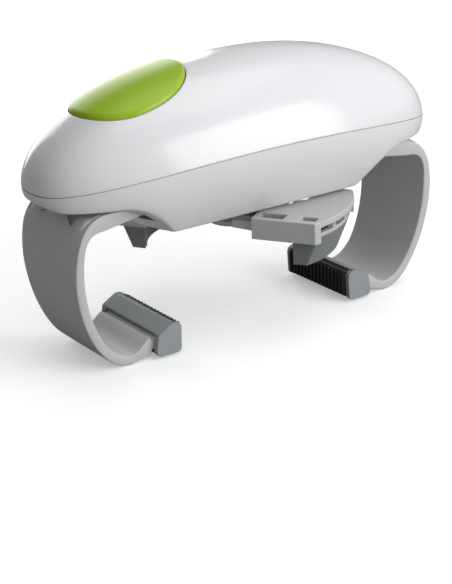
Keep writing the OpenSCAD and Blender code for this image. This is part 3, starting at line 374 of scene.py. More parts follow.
def well_row(grow, drop, d=0.0):
    """Row of the well's wall: its outline, that far below the dome's surface."""
    x, y = well_point(grow)
    return np.stack([x, y, dome_z(x, y, d) - drop], -1)


def dome_row(f, d=0.0, grow=GAP + LIP):
    """Row at the share f of the way from the well's lip to the parting line."""
    x0, y0 = well_point(grow)
    x1, y1 = edge_x * ((HALF_LEN - d) / HALF_LEN), edge_y * ((HALF_WID - d) / HALF_WID)
    x, y = x0 + (x1 - x0) * f, y0 + (y1 - y0) * f
    return np.stack([x, y, dome_z(x, y, d)], -1)


def rim_row(d, lift):
    """Row at the parting line, drawn in by d and lifted."""
    x, y = edge_x * (HALF_LEN - d) / HALF_LEN, edge_y * (HALF_WID - d) / HALF_WID
    return np.stack([x, y, seam_z(x) + lift], -1)


def bunched(count):
    """Shares between 0 and 1, close together at 1: the sine of even steps."""
    return np.sin(np.linspace(0, np.pi / 2, count + 2))[1:-1]


print("button's well:", 2 * BUTTON_A, "by", 2 * BUTTON_B, "mm, and", COLS, "rays from it")

# %% [markdown]
# The rows run from the well's wall over the lip, out along the dome, round the
# small bevel at the parting line and back in under the dome. They lie closer
# together towards the parting line, where the dome is steepest.

# %% Build the dome round the button's well
lip_turn = np.radians([0, 22, 45, 67, 90])
rows = [well_row(GAP, WALL)]
rows += [well_row(GAP + LIP * (1 - math.cos(a)), LIP * (1 - math.sin(a))) for a in lip_turn]
rows += [dome_row(f) for f in bunched(OUTER_ROWS)]
rows += [rim_row(GROOVE * (1 - math.cos(a)), GROOVE * (1 - math.sin(a)))
         for a in np.pi / 2 - lip_turn[::-1]]
rows.append(rim_row(WALL, 0.0))
rows += [dome_row(f, WALL, GAP) for f in bunched(INNER_ROWS)[::-1]]
upper = skin_of("upper_shell_skin", np.stack(rows), "shell_white", "body", ["upper_shell"],
                wrap_rows=True)
print("upper shell:", len(upper.data.polygons), "faces")

# %% [markdown]
# ## Cutting openings
# Straight-walled openings, such as the battery bay, the arm slots and the
# turntable's seat, are where a Boolean is the right tool. The cutter is a
# closed grid, and the result is made a plain mesh at once, so that no modifier
# stays live.

# %% A cutter and a cut
def cutter(name, grid):
    """Object from a grid of closed loops, used only to cut."""
    obj = bpy.data.objects.new(name, grid_mesh(name, grid))
    scene.collection.objects.link(obj)
    return obj


def cut(obj, tools):
    """Takes the tools away from the object and keeps the result as its mesh."""
    for tool in tools:
        step = obj.modifiers.new("cut", "BOOLEAN")
        step.operation, step.solver, step.object = "DIFFERENCE", "EXACT", tool
    bpy.context.view_layer.update()
    depsgraph = bpy.context.evaluated_depsgraph_get()
    result = bpy.data.meshes.new_from_object(obj.evaluated_get(depsgraph))
    obj.modifiers.clear()
    obj.data = result
    shade(obj.data)
    for tool in tools:
        bpy.data.objects.remove(tool)


print("upper shell before its bay is cut:", len(upper.data.polygons), "faces")

# %% [markdown]
# ## The battery bay and its cover
# The bay is on the back of the dome. Its cover is a piece of the same dome, so
# it is worked out from the dome's own formula, solved for the side instead of
# the top, and its edge rolls over a small round like the rest of the moulding.

# %% Cut the bay and make the cover
COVER_X, COVER_Z, COVER_A, COVER_B, COVER_N = 36.0, 103.0, 27.0, 9.0, 5.0
COVER_ROLL, BAY_BACK, BAY_FRONT = 0.4, 8.0, 42.0


def dome_y(x, z, d=0.0):
    """Side of the dome at x and z: the dome's formula solved for the share."""
    r2 = (seam_z(x) - SEAM_TIP) ** 2
    h2 = (DOME - d) ** 2
    q2 = (h2 - np.sqrt(h2 * h2 - 4 * r2 * (h2 - (z - SEAM_TIP) ** 2))) / (2 * r2)
    rest = q2 ** (ROUND / 2) - (np.abs(x) / (HALF_LEN - d)) ** ROUND
    return (HALF_WID - d) * rest ** (1 / ROUND)


ox, oz = even_oval(1.0, 1.0, COVER_N, count=160)


def cover_row(k, d, sink=0.0, draw=0.0):
    """Row of the cover at the share k of its outline, under the dome by sink."""
    x = COVER_X - ox * (COVER_A - draw) * k
    z = COVER_Z + oz * (COVER_B - draw) * k
    return np.stack([x, dome_y(x, z, d) - sink, z], -1)


bay = [np.stack([COVER_X - ox * (COVER_A + GAP), np.full_like(ox, y),
                 COVER_Z + oz * (COVER_B + GAP)], -1) for y in (BAY_BACK, BAY_FRONT)]
cut(upper, [cutter("bay_tool", np.stack(bay))])
turn = np.radians([90, 67, 45, 22, 0])
grid = [cover_row(k, 0.0, draw=COVER_ROLL) for k in (0.02, 0.25, 0.5, 0.75, 0.9)]
grid += [cover_row(1.0, 0.0, COVER_ROLL * (1 - math.sin(a)), COVER_ROLL * (1 - math.cos(a)))
         for a in turn]
grid += [cover_row(k, WALL) for k in (1.0, 0.5, 0.02)]
cover = skin_of("battery_cover_skin", np.stack(grid), "shell_white", "battery_cover",
                ["battery_cover"], flip=True)
print("bay cut:", len(upper.data.polygons), "faces; cover:", len(cover.data.polygons), "faces")

# %% [markdown]
# The gap round the cover shows as a fine dark line, because it ends on a lip in
# the bay's wall whose dark colour is painted shade. The lip is a ring between
# two outlines of the cover, one in the wall and one just clear of the cover.

# %% Lay the lip in the bay's gap
LIP_TOP, LIP_END, LIP_CLEAR, LIP_ROOT = 0.5, 1.6, 0.08, GAP + 0.05
lip = np.stack([cover_row(1.0, 0.0, sink, -grow) for sink, grow in [
    (LIP_TOP, LIP_ROOT), (LIP_TOP, LIP_CLEAR), (LIP_END, LIP_CLEAR), (LIP_END, LIP_ROOT)]])
# The lip's colour is painted shade for the gap.
skin_of("bay_lip", lip, "seam_shade", "body", wrap_rows=True, smooth=30)
print("lip:", lip.shape[:2], "grid")

# %% [markdown]
# ## The lower shell
# Below the parting line each section across the body is a curve from the
# parting line down to the keel or to a wing, and a flat underside. The keel
# rolls up into the wings in an S. The sections are stacked along the body, and
# the sharp corner between side and underside gets a small Bezier round.

# %% Formulas of the lower shell
WING_Z, WING_LEN, WING_WID = 74.0, 206.0, 73.0
KEEL_Z, KEEL_LEN, KEEL_WID, BULGE, RUN, CURVE, SOFT = 58.5, 101.0, 54.0, 6.5, 25.5, 1.75, 0.04
WING_TURN, KEEL_TURN, KEEL_CORNER, FLOOR = 30.0, 14.0, 0.25, 2.55


def keel_share(x):
    """1 on the keel and 0 on a wing: one minus a ramp with a soft start, to a power."""
    t = (np.abs(x) - KEEL_LEN / 2) / RUN
    t = (t + np.sqrt(t * t + SOFT**2)) / 2
    return (1 - np.clip(t, 0, 1)) ** CURVE


def base_z(x, y, half, lift, run, groove):
    """Underside: the wing's height, curled up at the tip, less the keel's depth."""
    s = np.clip((np.abs(x) - half + run) / run, 0, 1)
    z0 = WING_Z + lift
    wing = z0 + (seam_z(x) - groove - z0) * (1 - np.sqrt(1 - s * s))
    shift = BULGE * np.maximum(0, 1 - (2 * y / KEEL_WID) ** 2)
    return wing - (WING_Z - KEEL_Z) * keel_share(np.maximum(np.abs(x) - shift, 0))


def base_half(x, d):
    """Half width of the underside: the wing's oval, narrowed to the keel's width."""
    w = (WING_WID / 2 - d) * np.maximum(
        0, 1 - (np.abs(x) / (WING_LEN / 2 - d)) ** ROUND) ** (1 / ROUND)
    k = keel_share(x)
    return np.minimum(w, (KEEL_WID / 2 - d) * k + w * (1 - k))


print("keel from", -KEEL_LEN / 2, "to", KEEL_LEN / 2, "mm, and wings beyond it")

# %% [markdown]
# A section's side is a quarter ellipse on a wing and a squared sine on the
# keel. Before its foot a quadratic Bezier curve takes over, whose middle handle
# is the foot, and rounds the corner. On the keel the corner is smaller.

# %% Half a section
def half_section(x, d, lift, run, groove, steps, corner):
    """Half of each section: a curve down the side, a Bezier round, a flat underside.

    The side runs from 90 degrees at the parting line to the angle low, where the
    round starts. The round ends at flat_end, a share of the underside's half width.
    """
    half, k = HALF_LEN - d, keel_share(x)
    yb = base_half(x, d)
    ys = (HALF_WID - d) * np.maximum(0, 1 - (np.abs(x) / half) ** ROUND) ** (1 / ROUND)
    zb = base_z(x, yb, half, lift, run, groove)
    zs = seam_z(x) - groove

    def side(a):
        """Side at the angle a: 90 degrees at the parting line and 0 at its foot."""
        return np.stack([x, yb + (ys - yb) * np.sin(a) ** (1 + k),
                         zb + (zs - zb) * (1 - np.cos(a))], -1)

    def flat(s):
        """Underside at the share s of the way from the middle to the side's foot."""
        return np.stack([x, yb * s, base_z(x, yb * s, half, lift, run, groove)], -1)

    low = np.radians(WING_TURN - (WING_TURN - KEEL_TURN) * k)
    corner = corner * (1 - (1 - KEEL_CORNER) * k)
    flat_end = 1 - corner / np.maximum(yb, 2 * corner)
    start, knee, end = side(low), side(0.0), flat(flat_end)
    out = [side(a) for a in np.linspace(np.pi / 2, low, steps)]
    out += [start * (1 - t) ** 2 + knee * 2 * t * (1 - t) + end * t * t
            for t in np.arange(1, 6) / 5]
    out += [flat(flat_end * s) for s in np.arange(4, -1, -1) / 5]
    return np.stack(out, 1)


print("underside at", KEEL_Z, "mm on the keel and", WING_Z, "mm on a wing")

# %% [markdown]
# The shares u of the half length are bunched up at the two tips, where the
# outline turns most: one less the square of the distance to the tip. The outer
# half section is mirrored for the other side, and the inner one, a wall
# thinner, closes the loop.

# %% Stack the sections
SECTIONS = 361
u = np.linspace(-1, 1, SECTIONS)
u = np.sign(u) * (1 - (1 - np.abs(u)) ** 2)


def both_sides(half):
    """Whole section from one half: the half, then its mirror image back up."""
    return np.concatenate([half, half[:, -2::-1] * [1, -1, 1]], 1)


def lower_rim(share_x, sign, d):
    """Row of the groove's inner edge: the outline drawn in by d, at the parting line."""
    x = share_x * (HALF_LEN - d)
    y = sign * (HALF_WID - d) * np.maximum(0, 1 - np.abs(share_x) ** ROUND) ** (1 / ROUND)
    return np.stack([x, y, seam_z(x)], -1)[:, None]


outer = both_sides(half_section(u * HALF_LEN, d=0.0, lift=0.0, run=9.0, groove=GROOVE,
                                steps=16, corner=6.0))
inner = both_sides(half_section(u * (HALF_LEN - WALL), d=WALL, lift=FLOOR, run=4.0,
                                groove=0.0, steps=7, corner=0.9))
loops = np.concatenate([
    lower_rim(u, 1, GROOVE), outer, lower_rim(u, -1, GROOVE), inner[:, ::-1]], 1)
lower = skin_of("lower_shell_skin", loops, "shell_white", "body", ["lower_shell"], caps=False)
weld(lower.data)
print("lower shell:", loops.shape[:2], "grid")

# %% [markdown]
# The arms slide through a slot in each wing, and the turntable's disc sits in
# a shallow round seat. A profile of (radius, height) steps, carried round, makes
# the cutter for the seat and for each screw hole.

# %% Cut the slots, the seat and the screw holes
SLOT_X, SLOT_LEN, SLOT_WID, SLOT_LOW, SLOT_HIGH = 76.0, 64.0, 51.0, 65.4, 73.95
SEAT_STEPS = [(25.3, 56), (25.3, 59.35), (9.05, 59.35), (9.05, 63)]
SCREW_STEPS = [(2.9, 73), (2.9, 76.4), (1.55, 76.4), (1.55, 79)]
SCREW_X, SCREW_Y = 78, 18


def slot_grid(middle):
    """Two loops of four corners, at the low and the high side of an arm's slot."""
    x0, x1 = middle - SLOT_LEN / 2, middle + SLOT_LEN / 2
    y0, y1 = -SLOT_WID / 2, SLOT_WID / 2
    return np.array([[[x0, y0, z], [x1, y0, z], [x1, y1, z], [x0, y1, z]]
                     for z in (SLOT_LOW, SLOT_HIGH)])


def turned(profile, at=(0.0, 0.0), count=96):
    """Rows of a turned shape: each (radius, z) of the profile carried round."""
    t = np.linspace(0, 2 * np.pi, count, endpoint=False)
    return np.stack([
        np.stack([at[0] + r * np.cos(t), at[1] + r * np.sin(t), np.full_like(t, z)], -1)
        for r, z in profile
    ])


tools = [cutter("slot_tool", slot_grid(side * SLOT_X)) for side in (-1, 1)]
tools.append(cutter("seat_tool", turned(SEAT_STEPS)))
tools += [cutter("screw_tool", turned(SCREW_STEPS, (sx * SCREW_X, sy * SCREW_Y), 32))
          for sx in (-1, 1) for sy in (-1, 1)]
cut(lower, tools)
print("lower shell cut:", len(lower.data.polygons), "faces")

# %% [markdown]
# ## The parting line
# The two shells meet with a small bevel each. In the bottom of that groove lies
# the lower shell's tongue, a thin band carried along the parting line. Its
# brownish colour is painted shade, which makes the fine brownish line round the body.

# %% Lay the tongue in the groove
def tongue_row(d, lift):
    """Row along the parting line, drawn in by d along the outline's normal."""
    tx, ty = np.gradient(edge_x), np.gradient(edge_y)
    size = np.hypot(tx, ty)
    x, y = edge_x - ty / size * d, edge_y + tx / size * d
    return np.stack([x, y, seam_z(edge_x) + lift], -1)


TONGUE = [(0.1, -0.25), (0.1, 0.25), (1.2, 0.25), (1.2, -0.25)]
tongue = np.stack([tongue_row(d, lift) for d, lift in TONGUE])
# The tongue's colour is painted shade for the groove.
skin_of("seam_tongue", tongue, "seam_shade", "body", wrap_rows=True, smooth=30)
print("tongue:", tongue.shape[:2], "grid")

# %% [markdown]
# ## The button
# The button is a lens that follows the dome, a little proud of it, with a soft
# rolled edge. Under the shell it has a flange that keeps it in, and a broad stem
# that rests on the spring.

# %% Build the button
RAISE, ROLL, UNDER, FLANGE_OUT, FLANGE_LOW = 1.6, 1.5, 0.6, 1.5, 1.8
SEAT_R, SEAT, SEAT_TOP = 9.5, 109.5, 119.0
bx, by = even_oval(1.0, BUTTON_B / BUTTON_A, BUTTON_N, count=240)
by = by * (BUTTON_A / BUTTON_B)


def button_row(k, grow=0.0, d=0.0, lift=0.0):
    """Row of the button at the share k of its outline, above the dome by lift."""
    x, y = BUTTON_X + bx * (BUTTON_A + grow) * k, by * (BUTTON_B + grow) * k
    return np.stack([x, y, dome_z(x, y, d) + lift], -1)


grid = [button_row(k, lift=RAISE) for k in np.linspace(0.004, 0.93, 28)]
grid += [button_row(1.0, -ROLL * (1 - math.sin(a)), 0.0, RAISE - ROLL * (1 - math.cos(a)))
         for a in np.radians(np.linspace(0, 90, 9))]
grid += [button_row(1.0, 0.0, WALL, -UNDER), button_row(1.0, FLANGE_OUT, WALL, -UNDER),
         button_row(1.0, FLANGE_OUT, WALL, -FLANGE_LOW), button_row(0.4, 0.0, WALL, -FLANGE_LOW)]
button = skin_of("button_skin", np.stack(grid), "button_green", "button", flip=True)
STEM_STEPS = [(SEAT_R, SEAT), (SEAT_R, SEAT_TOP), (0.5, SEAT_TOP)]
skin_of("button_stem", turned(STEM_STEPS, (BUTTON_X, 0.0), 64), "button_green", "button",
        ["button"])
print("button:", len(button.data.polygons), "faces")

# %% [markdown]
# ## The button's spring
# A coil spring stands on the circuit board and lifts the button. Its wire is a
# round section carried along a helix. A real spring gets shorter as the button
# goes down; this piece keeps one length.

# %% Wind the spring
SPRING_R, WIRE, TURNS, BOARD_TOP, TRAVEL = 7.6, 0.5, 5, 99.6, 1.8


def helix_tube(steps=180, sides=12):
    """Tube on a helix: angle and height grow evenly along it, with a round section."""
    walk = np.linspace(0, 1, steps + 1)[:, None]
    angle, side = 2 * np.pi * TURNS * walk, np.linspace(0, 2 * np.pi, sides, endpoint=False)
    r = SPRING_R + WIRE * np.cos(side)
    z = BOARD_TOP + WIRE + (SEAT - BOARD_TOP - 2 * WIRE) * walk - WIRE * np.sin(side)
    return np.stack([BUTTON_X + r * np.cos(angle), r * np.sin(angle), z], -1)


spring = skin_of("button_spring_skin", helix_tube(), "steel", "body", ["button_spring"], smooth=60)
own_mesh(spring)
print("spring:", len(spring.data.polygons), "faces")

# %% [markdown]
# ## The arms
# An arm is a flat band that comes out of the keel, bends down round the
# shoulder, runs down the flank and curls in to the foot, where it ends in a
# barrel for the pad's pin. The outer and the inner line of the band are cubic
# curves, walked together, and a rounded rectangle is carried between them.

# %% Formulas of the band
REACH, BAND, ARM_TOP, ARM_BOTTOM, PLATE_END, WAIST = 98.8, 4.4, 73.7, 69.3, 64.5, 47.0
FOOT_X, PIN_X, PIN_Z, BARREL, KNUCKLE = 62.3, 58.0, 6.4, 4.2, 3.1


def cubic(p, t):
    """Cubic Bezier curve with the four handles p at the shares t."""
    p, t = np.array(p, float), t[:, None]
    return ((1 - t) ** 3 * p[0] + 3 * (1 - t) ** 2 * t * p[1]
            + 3 * (1 - t) * t * t * p[2] + t**3 * p[3])


def right_of(p, t):
    """Unit normal to the right of that curve: its derivative turned a quarter."""
    p, t = np.array(p, float), t[:, None]
    d = (1 - t) ** 2 * (p[1] - p[0]) + 2 * (1 - t) * t * (p[2] - p[1]) + t * t * (p[3] - p[2])
    return np.stack([d[:, 1], -d[:, 0]], -1) / np.linalg.norm(d, axis=1, keepdims=True)


def lerp(a, b, t):
    """Straight line from a to b at the shares t."""
    return np.array(a) + (np.array(b, float) - np.array(a)) * t[:, None]


print("band:", BAND, "mm thick, reaching", REACH, "mm from the middle")

# %% [markdown]
# Both lines have the same number of points on the plate, the bend, the flank,
# the foot, the neck and the nose, so that point by point they face each other.
# On the flank the inner line is the outer one, moved in by the band's thickness.

# %% Draw the band's two lines
SHOULDER = [(REACH - 18.8, ARM_TOP), (REACH - 6.8, ARM_TOP), (REACH - 0.5, ARM_TOP - 7.7),
            (REACH, WAIST)]
FLANK = [(REACH, WAIST), (REACH + 0.2, 30), (REACH - 8.8, 0.2), (REACH - 26.8, 0)]
INNER = [(REACH - BAND, WAIST), (REACH - BAND, WAIST + 12), (REACH - BAND - 0.4, ARM_TOP - 7.4),
         (REACH - 14.6, ARM_TOP - 7.4)]
SCOOP = [(FOOT_X, PIN_Z + BARREL - 0.3), (FOOT_X + 3.5, PIN_Z + BARREL - 2),
         (REACH - 31, BAND + 0.6), (REACH - 26.8, BAND)]


PLATE_ROWS, BEND_ROWS, FLANK_ROWS, FOOT_ROWS, NOSE_ROWS = 10, 72, 72, 16, 14
MEET = math.radians(38)
plate, bend, flank, foot, nose = [
    np.linspace(0, 1, n, endpoint=False)
    for n in (PLATE_ROWS, BEND_ROWS, FLANK_ROWS, FOOT_ROWS, NOSE_ROWS)]
reach_in = MEET + nose * (np.pi - MEET)
arc = np.stack([np.cos(reach_in), np.sin(reach_in)], -1) * KNUCKLE
neck = np.array([(0.0, 3.9), (-0.4, 3.5), (-0.7, 2.5), (-1.1, 2.1)]) + [FOOT_X - PIN_X, 0]
outside = np.concatenate([
    lerp((PLATE_END, ARM_TOP), SHOULDER[0], plate), cubic(SHOULDER, bend), cubic(FLANK, flank),
    lerp(FLANK[3], (FOOT_X, PIN_Z - BARREL + 0.3), foot),
    neck * [1, -1] + [PIN_X, PIN_Z], arc * [1, -1] + [PIN_X, PIN_Z]])
inside = np.concatenate([
    lerp((PLATE_END, ARM_BOTTOM), INNER[3], plate), cubic(INNER, 1 - bend),
    cubic(FLANK, flank) + BAND * right_of(FLANK, flank), cubic(SCOOP, 1 - foot),
    neck + [PIN_X, PIN_Z], arc + [PIN_X, PIN_Z]])
print("band:", len(outside), "sections")

# %% [markdown]
# The band narrows towards the foot. On the shoulder two round-ended rails stand
# a little proud, with a notch between them that tapers off and a narrow groove
# outside each. Every form is a smooth step across the band times one along it.

# %% Shape the shoulder
FOOT_HALF, TOP_HALF, FOOT_TOP, TOP_START = 21.4, 25.2, PIN_Z + BARREL + 1.5, 62.0
RAIL_Y, RAIL_R, RAIL_TIP, RAIL_RISE, RAIL_START, RAIL_FADE = 18.2, 4.2, 66.2, 1.2, 72.6, 2.5
NOTCH_Y, NOTCH_Z, NOTCH_DEPTH, NOTCH_SLOPE, NOTCH_FADE = 13.0, 67.8, 2.6, 0.36, (0.9, 1.0)
GROOVE_Y, GROOVE_Z, GROOVE_DEPTH, GROOVE_FADE = 24.2, 66.6, 1.8, (0.5, 0.4, 1.5)


def ease(t):
    """Smooth step from 0 to 1: three t squared minus two t cubed."""
    t = np.clip(t, 0, 1)
    return t * t * (3 - 2 * t)


def half_width(z):
    """Half width of the band at the height z: a ramp between foot and top."""
    ramp = np.clip((z - FOOT_TOP) / (TOP_START - FOOT_TOP), 0, 1)
    return FOOT_HALF + (TOP_HALF - FOOT_HALF) * ramp


def shoulder_relief(line, y):
    """Height over the band: rails as domed capsules, less the notch and the grooves.

    The capsule's height is the root of one minus the distance to its axis, taken
    as a share of its radius, to the fourth power.
    """
    run = np.concatenate([[0], np.cumsum(np.linalg.norm(np.diff(line, axis=0), axis=1))])
    z, shoulder = line[:, 1], PLATE_ROWS + BEND_ROWS
    on_shoulder = (np.arange(len(line)) < shoulder)[:, None]
    tip = np.interp(-RAIL_TIP, -z[:shoulder], run[:shoulder])
    past = np.maximum(0, run - (tip - RAIL_R))[:, None]
    far = np.hypot(y - RAIL_Y, past) / RAIL_R
    rail = np.sqrt(np.maximum(0, 1 - far**4)) * ease((RAIL_START - z) / RAIL_FADE)[:, None]
    low = NOTCH_Z + np.maximum(0, NOTCH_Y - y) * NOTCH_SLOPE
    notch = ease((RAIL_Y - RAIL_R - y) / NOTCH_FADE[0]) * ease((z[:, None] - low) / NOTCH_FADE[1])
    groove = ease((y - RAIL_Y - RAIL_R) / GROOVE_FADE[0]) * ease((GROOVE_Y - y) / GROOVE_FADE[1])
    groove = groove * ease((z - GROOVE_Z) / GROOVE_FADE[2])[:, None]
    return (RAIL_RISE * rail - NOTCH_DEPTH * notch - GROOVE_DEPTH * groove) * on_shoulder


print("half width of the band:", FOOT_HALF, "to", TOP_HALF, "mm")

# %% [markdown]
# Across the band the points lie closest where the rails and grooves need them.
# The corner's radius is 0.7 mm, or 0.45 of the thickness where the band is thin.

# %% Build the arms
CORNER, CORNER_SHARE, THINNEST, RELIEF_HALF = 0.7, 0.45, 0.02, 24.5
across = np.concatenate([np.arange(0, 14, 1.0), np.arange(14, 22, 0.4), np.arange(22, 24.6, 0.2)])
across = across / across[-1]
across = np.concatenate([-across[:0:-1], across])
quarter = np.radians([0, 22.5, 45, 67.5, 90])


def band_grid():
    """Sections of the band: outer face with its relief, rounded corners, inner face."""
    thick = outside - inside
    size = np.maximum(np.linalg.norm(thick, axis=1, keepdims=True), THINNEST)
    unit = thick / size
    r = np.minimum(CORNER, size[:, 0] * CORNER_SHARE)
    y_out = across[None, :] * (half_width(outside[:, 1]) - r)[:, None]
    relief = shoulder_relief(outside, np.abs(across[None, :] * RELIEF_HALF))
    top = outside[:, None, :] + unit[:, None, :] * relief[..., None]
    face_out = np.stack([top[..., 0], y_out, top[..., 1]], -1)

    def corner_pts(base, sign_y, sign_t, angles):
        """Quarter circle at each section, from the face at 0 to the side at 90 degrees."""
        w = half_width(base[:, 1])[:, None]
        y = sign_y * (w - r[:, None] * (1 - np.sin(angles))[None, :])
        inset = (r[:, None] * (1 - np.cos(angles))[None, :])[..., None]
        p = base[:, None, :] - sign_t * unit[:, None, :] * inset
        return np.stack([p[..., 0], y, p[..., 1]], -1)

    y_in = across[None, ::-1] * (half_width(inside[:, 1]) - r)[:, None]
    face_in = np.stack([np.broadcast_to(inside[:, None, 0], y_in.shape), y_in,
                        np.broadcast_to(inside[:, None, 1], y_in.shape)], -1)
    there, back = quarter[1:], quarter[:0:-1]
    return np.concatenate([
        face_out, corner_pts(outside, 1, 1, there), corner_pts(inside, 1, -1, back),
        face_in, corner_pts(inside, -1, -1, there), corner_pts(outside, -1, 1, back)], 1)


arm_grid = band_grid()
skin_of("right_arm_skin", arm_grid, "arm_grey", "right_arm", ["right_arm"], flip=True)
skin_of("left_arm_skin", arm_grid * [-1, -1, 1], "arm_grey", "left_arm", ["left_arm"], flip=True)
print("arm:", arm_grid.shape[:2], "grid")

# %% [markdown]
# ## Pieces with the CAD model's own shape
# The jaws, grips, holders and the turntable have the right shape already. Only
# their hard edges look wrong, because every moulded edge has a small round. A
# copy of the mesh gets a bevel: the outer edges the full round, where there is
# room for it, and the edges of windows, slots and ribs a fine one.

# %% Weigh the edges
FINE, ROOM_SHARE, SHARP, FLAT, LEVEL, MERGE = 0.25, 0.3, 30.0, 0.5, 0.02, 0.002


def edge_weights(work, width):
    """Share of the bevel's width for each edge, 0 on edges that stay as they are.

    A face is an outer one if no point lies beyond its plane, and an edge is an outer
    one if both its faces are. The bevel is 0.3 of the shortest sharp edge that the
    edge meets, up to the width on an outer edge and to FINE elsewhere. Inner
    corners get none, because a fillet there could touch what slides past.
    """
    points = np.array([v.co for v in work.verts])
    normals = np.array([f.normal for f in work.faces])
    level = np.array([f.normal.dot(f.verts[0].co) for f in work.faces])
    outer_face = (normals @ points.T).max(1) - level < LEVEL * MM
    outer_edge = np.array([all(outer_face[f.index] for f in e.link_faces) for e in work.edges])
    sharp = np.array([e.calc_face_angle_signed(0.0) > math.radians(SHARP) for e in work.edges])
    length = np.array([e.calc_length() for e in work.edges])
    ends = np.array([[v.index for v in e.verts] for e in work.edges])
    room = np.full(len(work.verts), 1.0)
    for end in (0, 1):
        np.minimum.at(room, ends[sharp, end], length[sharp])
    limit = np.where(outer_edge, width, FINE)
    return np.where(sharp, np.minimum(ROOM_SHARE * room[ends].min(1) / MM, limit) / width, 0.0)


print("edges are sharp from", SHARP, "degrees, and the fine round is", FINE, "mm")

# %% [markdown]
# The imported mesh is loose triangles, so its copy is merged first, and then its
# triangles are joined into flat faces. The weights go into the mesh, and the
# Bevel modifier reads them, so that one modifier makes rounds of many widths.

# %% Round off copies of the CAD nodes
def rounded(node, slot, body, width, smooth=32.0):
    """Copy of a CAD node, merged, made of flat faces again, and bevelled."""
    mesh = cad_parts[node].data.copy()
    work = bmesh.new()
    work.from_mesh(mesh)
    bmesh.ops.remove_doubles(work, verts=work.verts, dist=MERGE * MM)
    bmesh.ops.dissolve_limit(
        work, angle_limit=math.radians(FLAT), verts=work.verts, edges=work.edges)
    work.verts.index_update()
    work.faces.index_update()
    weight = edge_weights(work, width)
    work.to_mesh(mesh)
    work.free()
    mesh.attributes.new("bevel_weight_edge", "FLOAT", "EDGE").data.foreach_set("value", weight)
    obj = dress(bpy.data.objects.new(node + "_skin", mesh), slot, body, [node], smooth)
    bevel = obj.modifiers.new("edge_round", "BEVEL")
    bevel.width, bevel.segments = width * MM, 3
    bevel.limit_method, bevel.use_clamp_overlap = "WEIGHT", False
    bevel.harden_normals = True
    return obj


for node, slot, body, width in [
    ("front_jaw", "jaw_grey", "front_jaw", 1.0), ("rear_jaw", "jaw_grey", "rear_jaw", 1.0),
    ("front_claw", "claw_grey", "front_jaw", 1.0), ("rear_claw", "claw_grey", "rear_jaw", 1.0),
    ("turntable", "jaw_grey", "turntable", 0.3), ("jaw_guide", "jaw_grey", "turntable", 0.3),
    ("right_pad_holder", "holder_grey", "right_pad", 0.7),
    ("left_pad_holder", "holder_grey", "left_pad", 0.7),
    ("right_pad", "pad_rubber", "right_pad", 0.25), ("left_pad", "pad_rubber", "left_pad", 0.25),
]:
    made = rounded(node, slot, body, width)
    print(made.name, len(made.data.polygons), "faces before the bevel")

# %% [markdown]
# ## The pieces inside
# The gears, the motor, the cells and the screws keep their CAD meshes. Each
# gets one of the finishes above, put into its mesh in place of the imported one.

# %% Finish what stays
inside_pieces = {
    "gear_plastic": "motor_pinion fast_gear slow_gear sun_gear ring_gear ring_cover planet_gear_1 "
                    "planet_gear_2 planet_gear_3 jaw_pinion arm_pinion gear_deck",
    "steel": "battery_contacts motor motor_plate gear_axles planet_carrier "
             "planet_pins jaw_screw right_pad_pin left_pad_pin shell_screws deck_screws motor_screws",
    "dark_plastic": "button_switch battery_tray",
    "board_green": "circuit_board",
    "cell_wrap": "battery_front battery_rear",
}
for slot, names in inside_pieces.items():
    for name in names.split():
        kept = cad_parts[name].data.materials
        kept.clear()
        kept.append(finishes[slot])
    print(slot, "on", len(names.split()), "CAD nodes")

# %% [markdown]
# ## Floor
# The opener stands on a plain floor, wide enough to reach the horizon.

# %% Lay the floor
FLOOR_HALF = 30.0
floor_corners = [(x * FLOOR_HALF, y * FLOOR_HALF, 0) for x, y in [(-1, -1), (1, -1), (1, 1), (-1, 1)]]
floor_mesh = bpy.data.meshes.new("floor")
floor_mesh.from_pydata(floor_corners, [], [(0, 1, 2, 3)])
floor = bpy.data.objects.new("floor", floor_mesh)
scene.collection.objects.link(floor)
print("floor:", 2 * FLOOR_HALF, "m square")

# %% [markdown]
# ## The floor's paper
# The floor is pale to the camera and darker to other rays, so that it throws
# little light back up. Light Path tells the two apart. Its glow, which grows
# away from the middle, shows to the camera alone. From below the floor is
# clear, so that the underside can be looked at too.

# %% Mix the floor's paper
GLOW_NEAR, GLOW_FAR, GLOW_LOW, GLOW_HIGH = 0.4, 1.6, 0.36, 1.0
paper = bpy.data.materials.new("floor_paper")
paper.use_nodes = True
paper_nodes, paper_links = paper.node_tree.nodes, paper.node_tree.links
paper_shader, paper_out = paper_nodes["Principled BSDF"], paper_nodes["Material Output"]
paper_shader.inputs["Roughness"].default_value = 0.9
paper_shader.inputs["Emission Strength"].default_value = 1.0
paper_path = paper_nodes.new("ShaderNodeLightPath")


def by_ray(socket, others, camera):
    """Node that gives the socket one grey for camera rays and one for all others."""
    tone = paper_nodes.new("ShaderNodeMix")
    tone.data_type = "RGBA"
    tone.inputs["A"].default_value = (others, others, others, 1)
    tone.inputs["B"].default_value = (camera, camera, camera, 1)
    paper_links.new(paper_path.outputs["Is Camera Ray"], tone.inputs["Factor"])
    paper_links.new(tone.outputs["Result"], paper_shader.inputs[socket])
    return tone


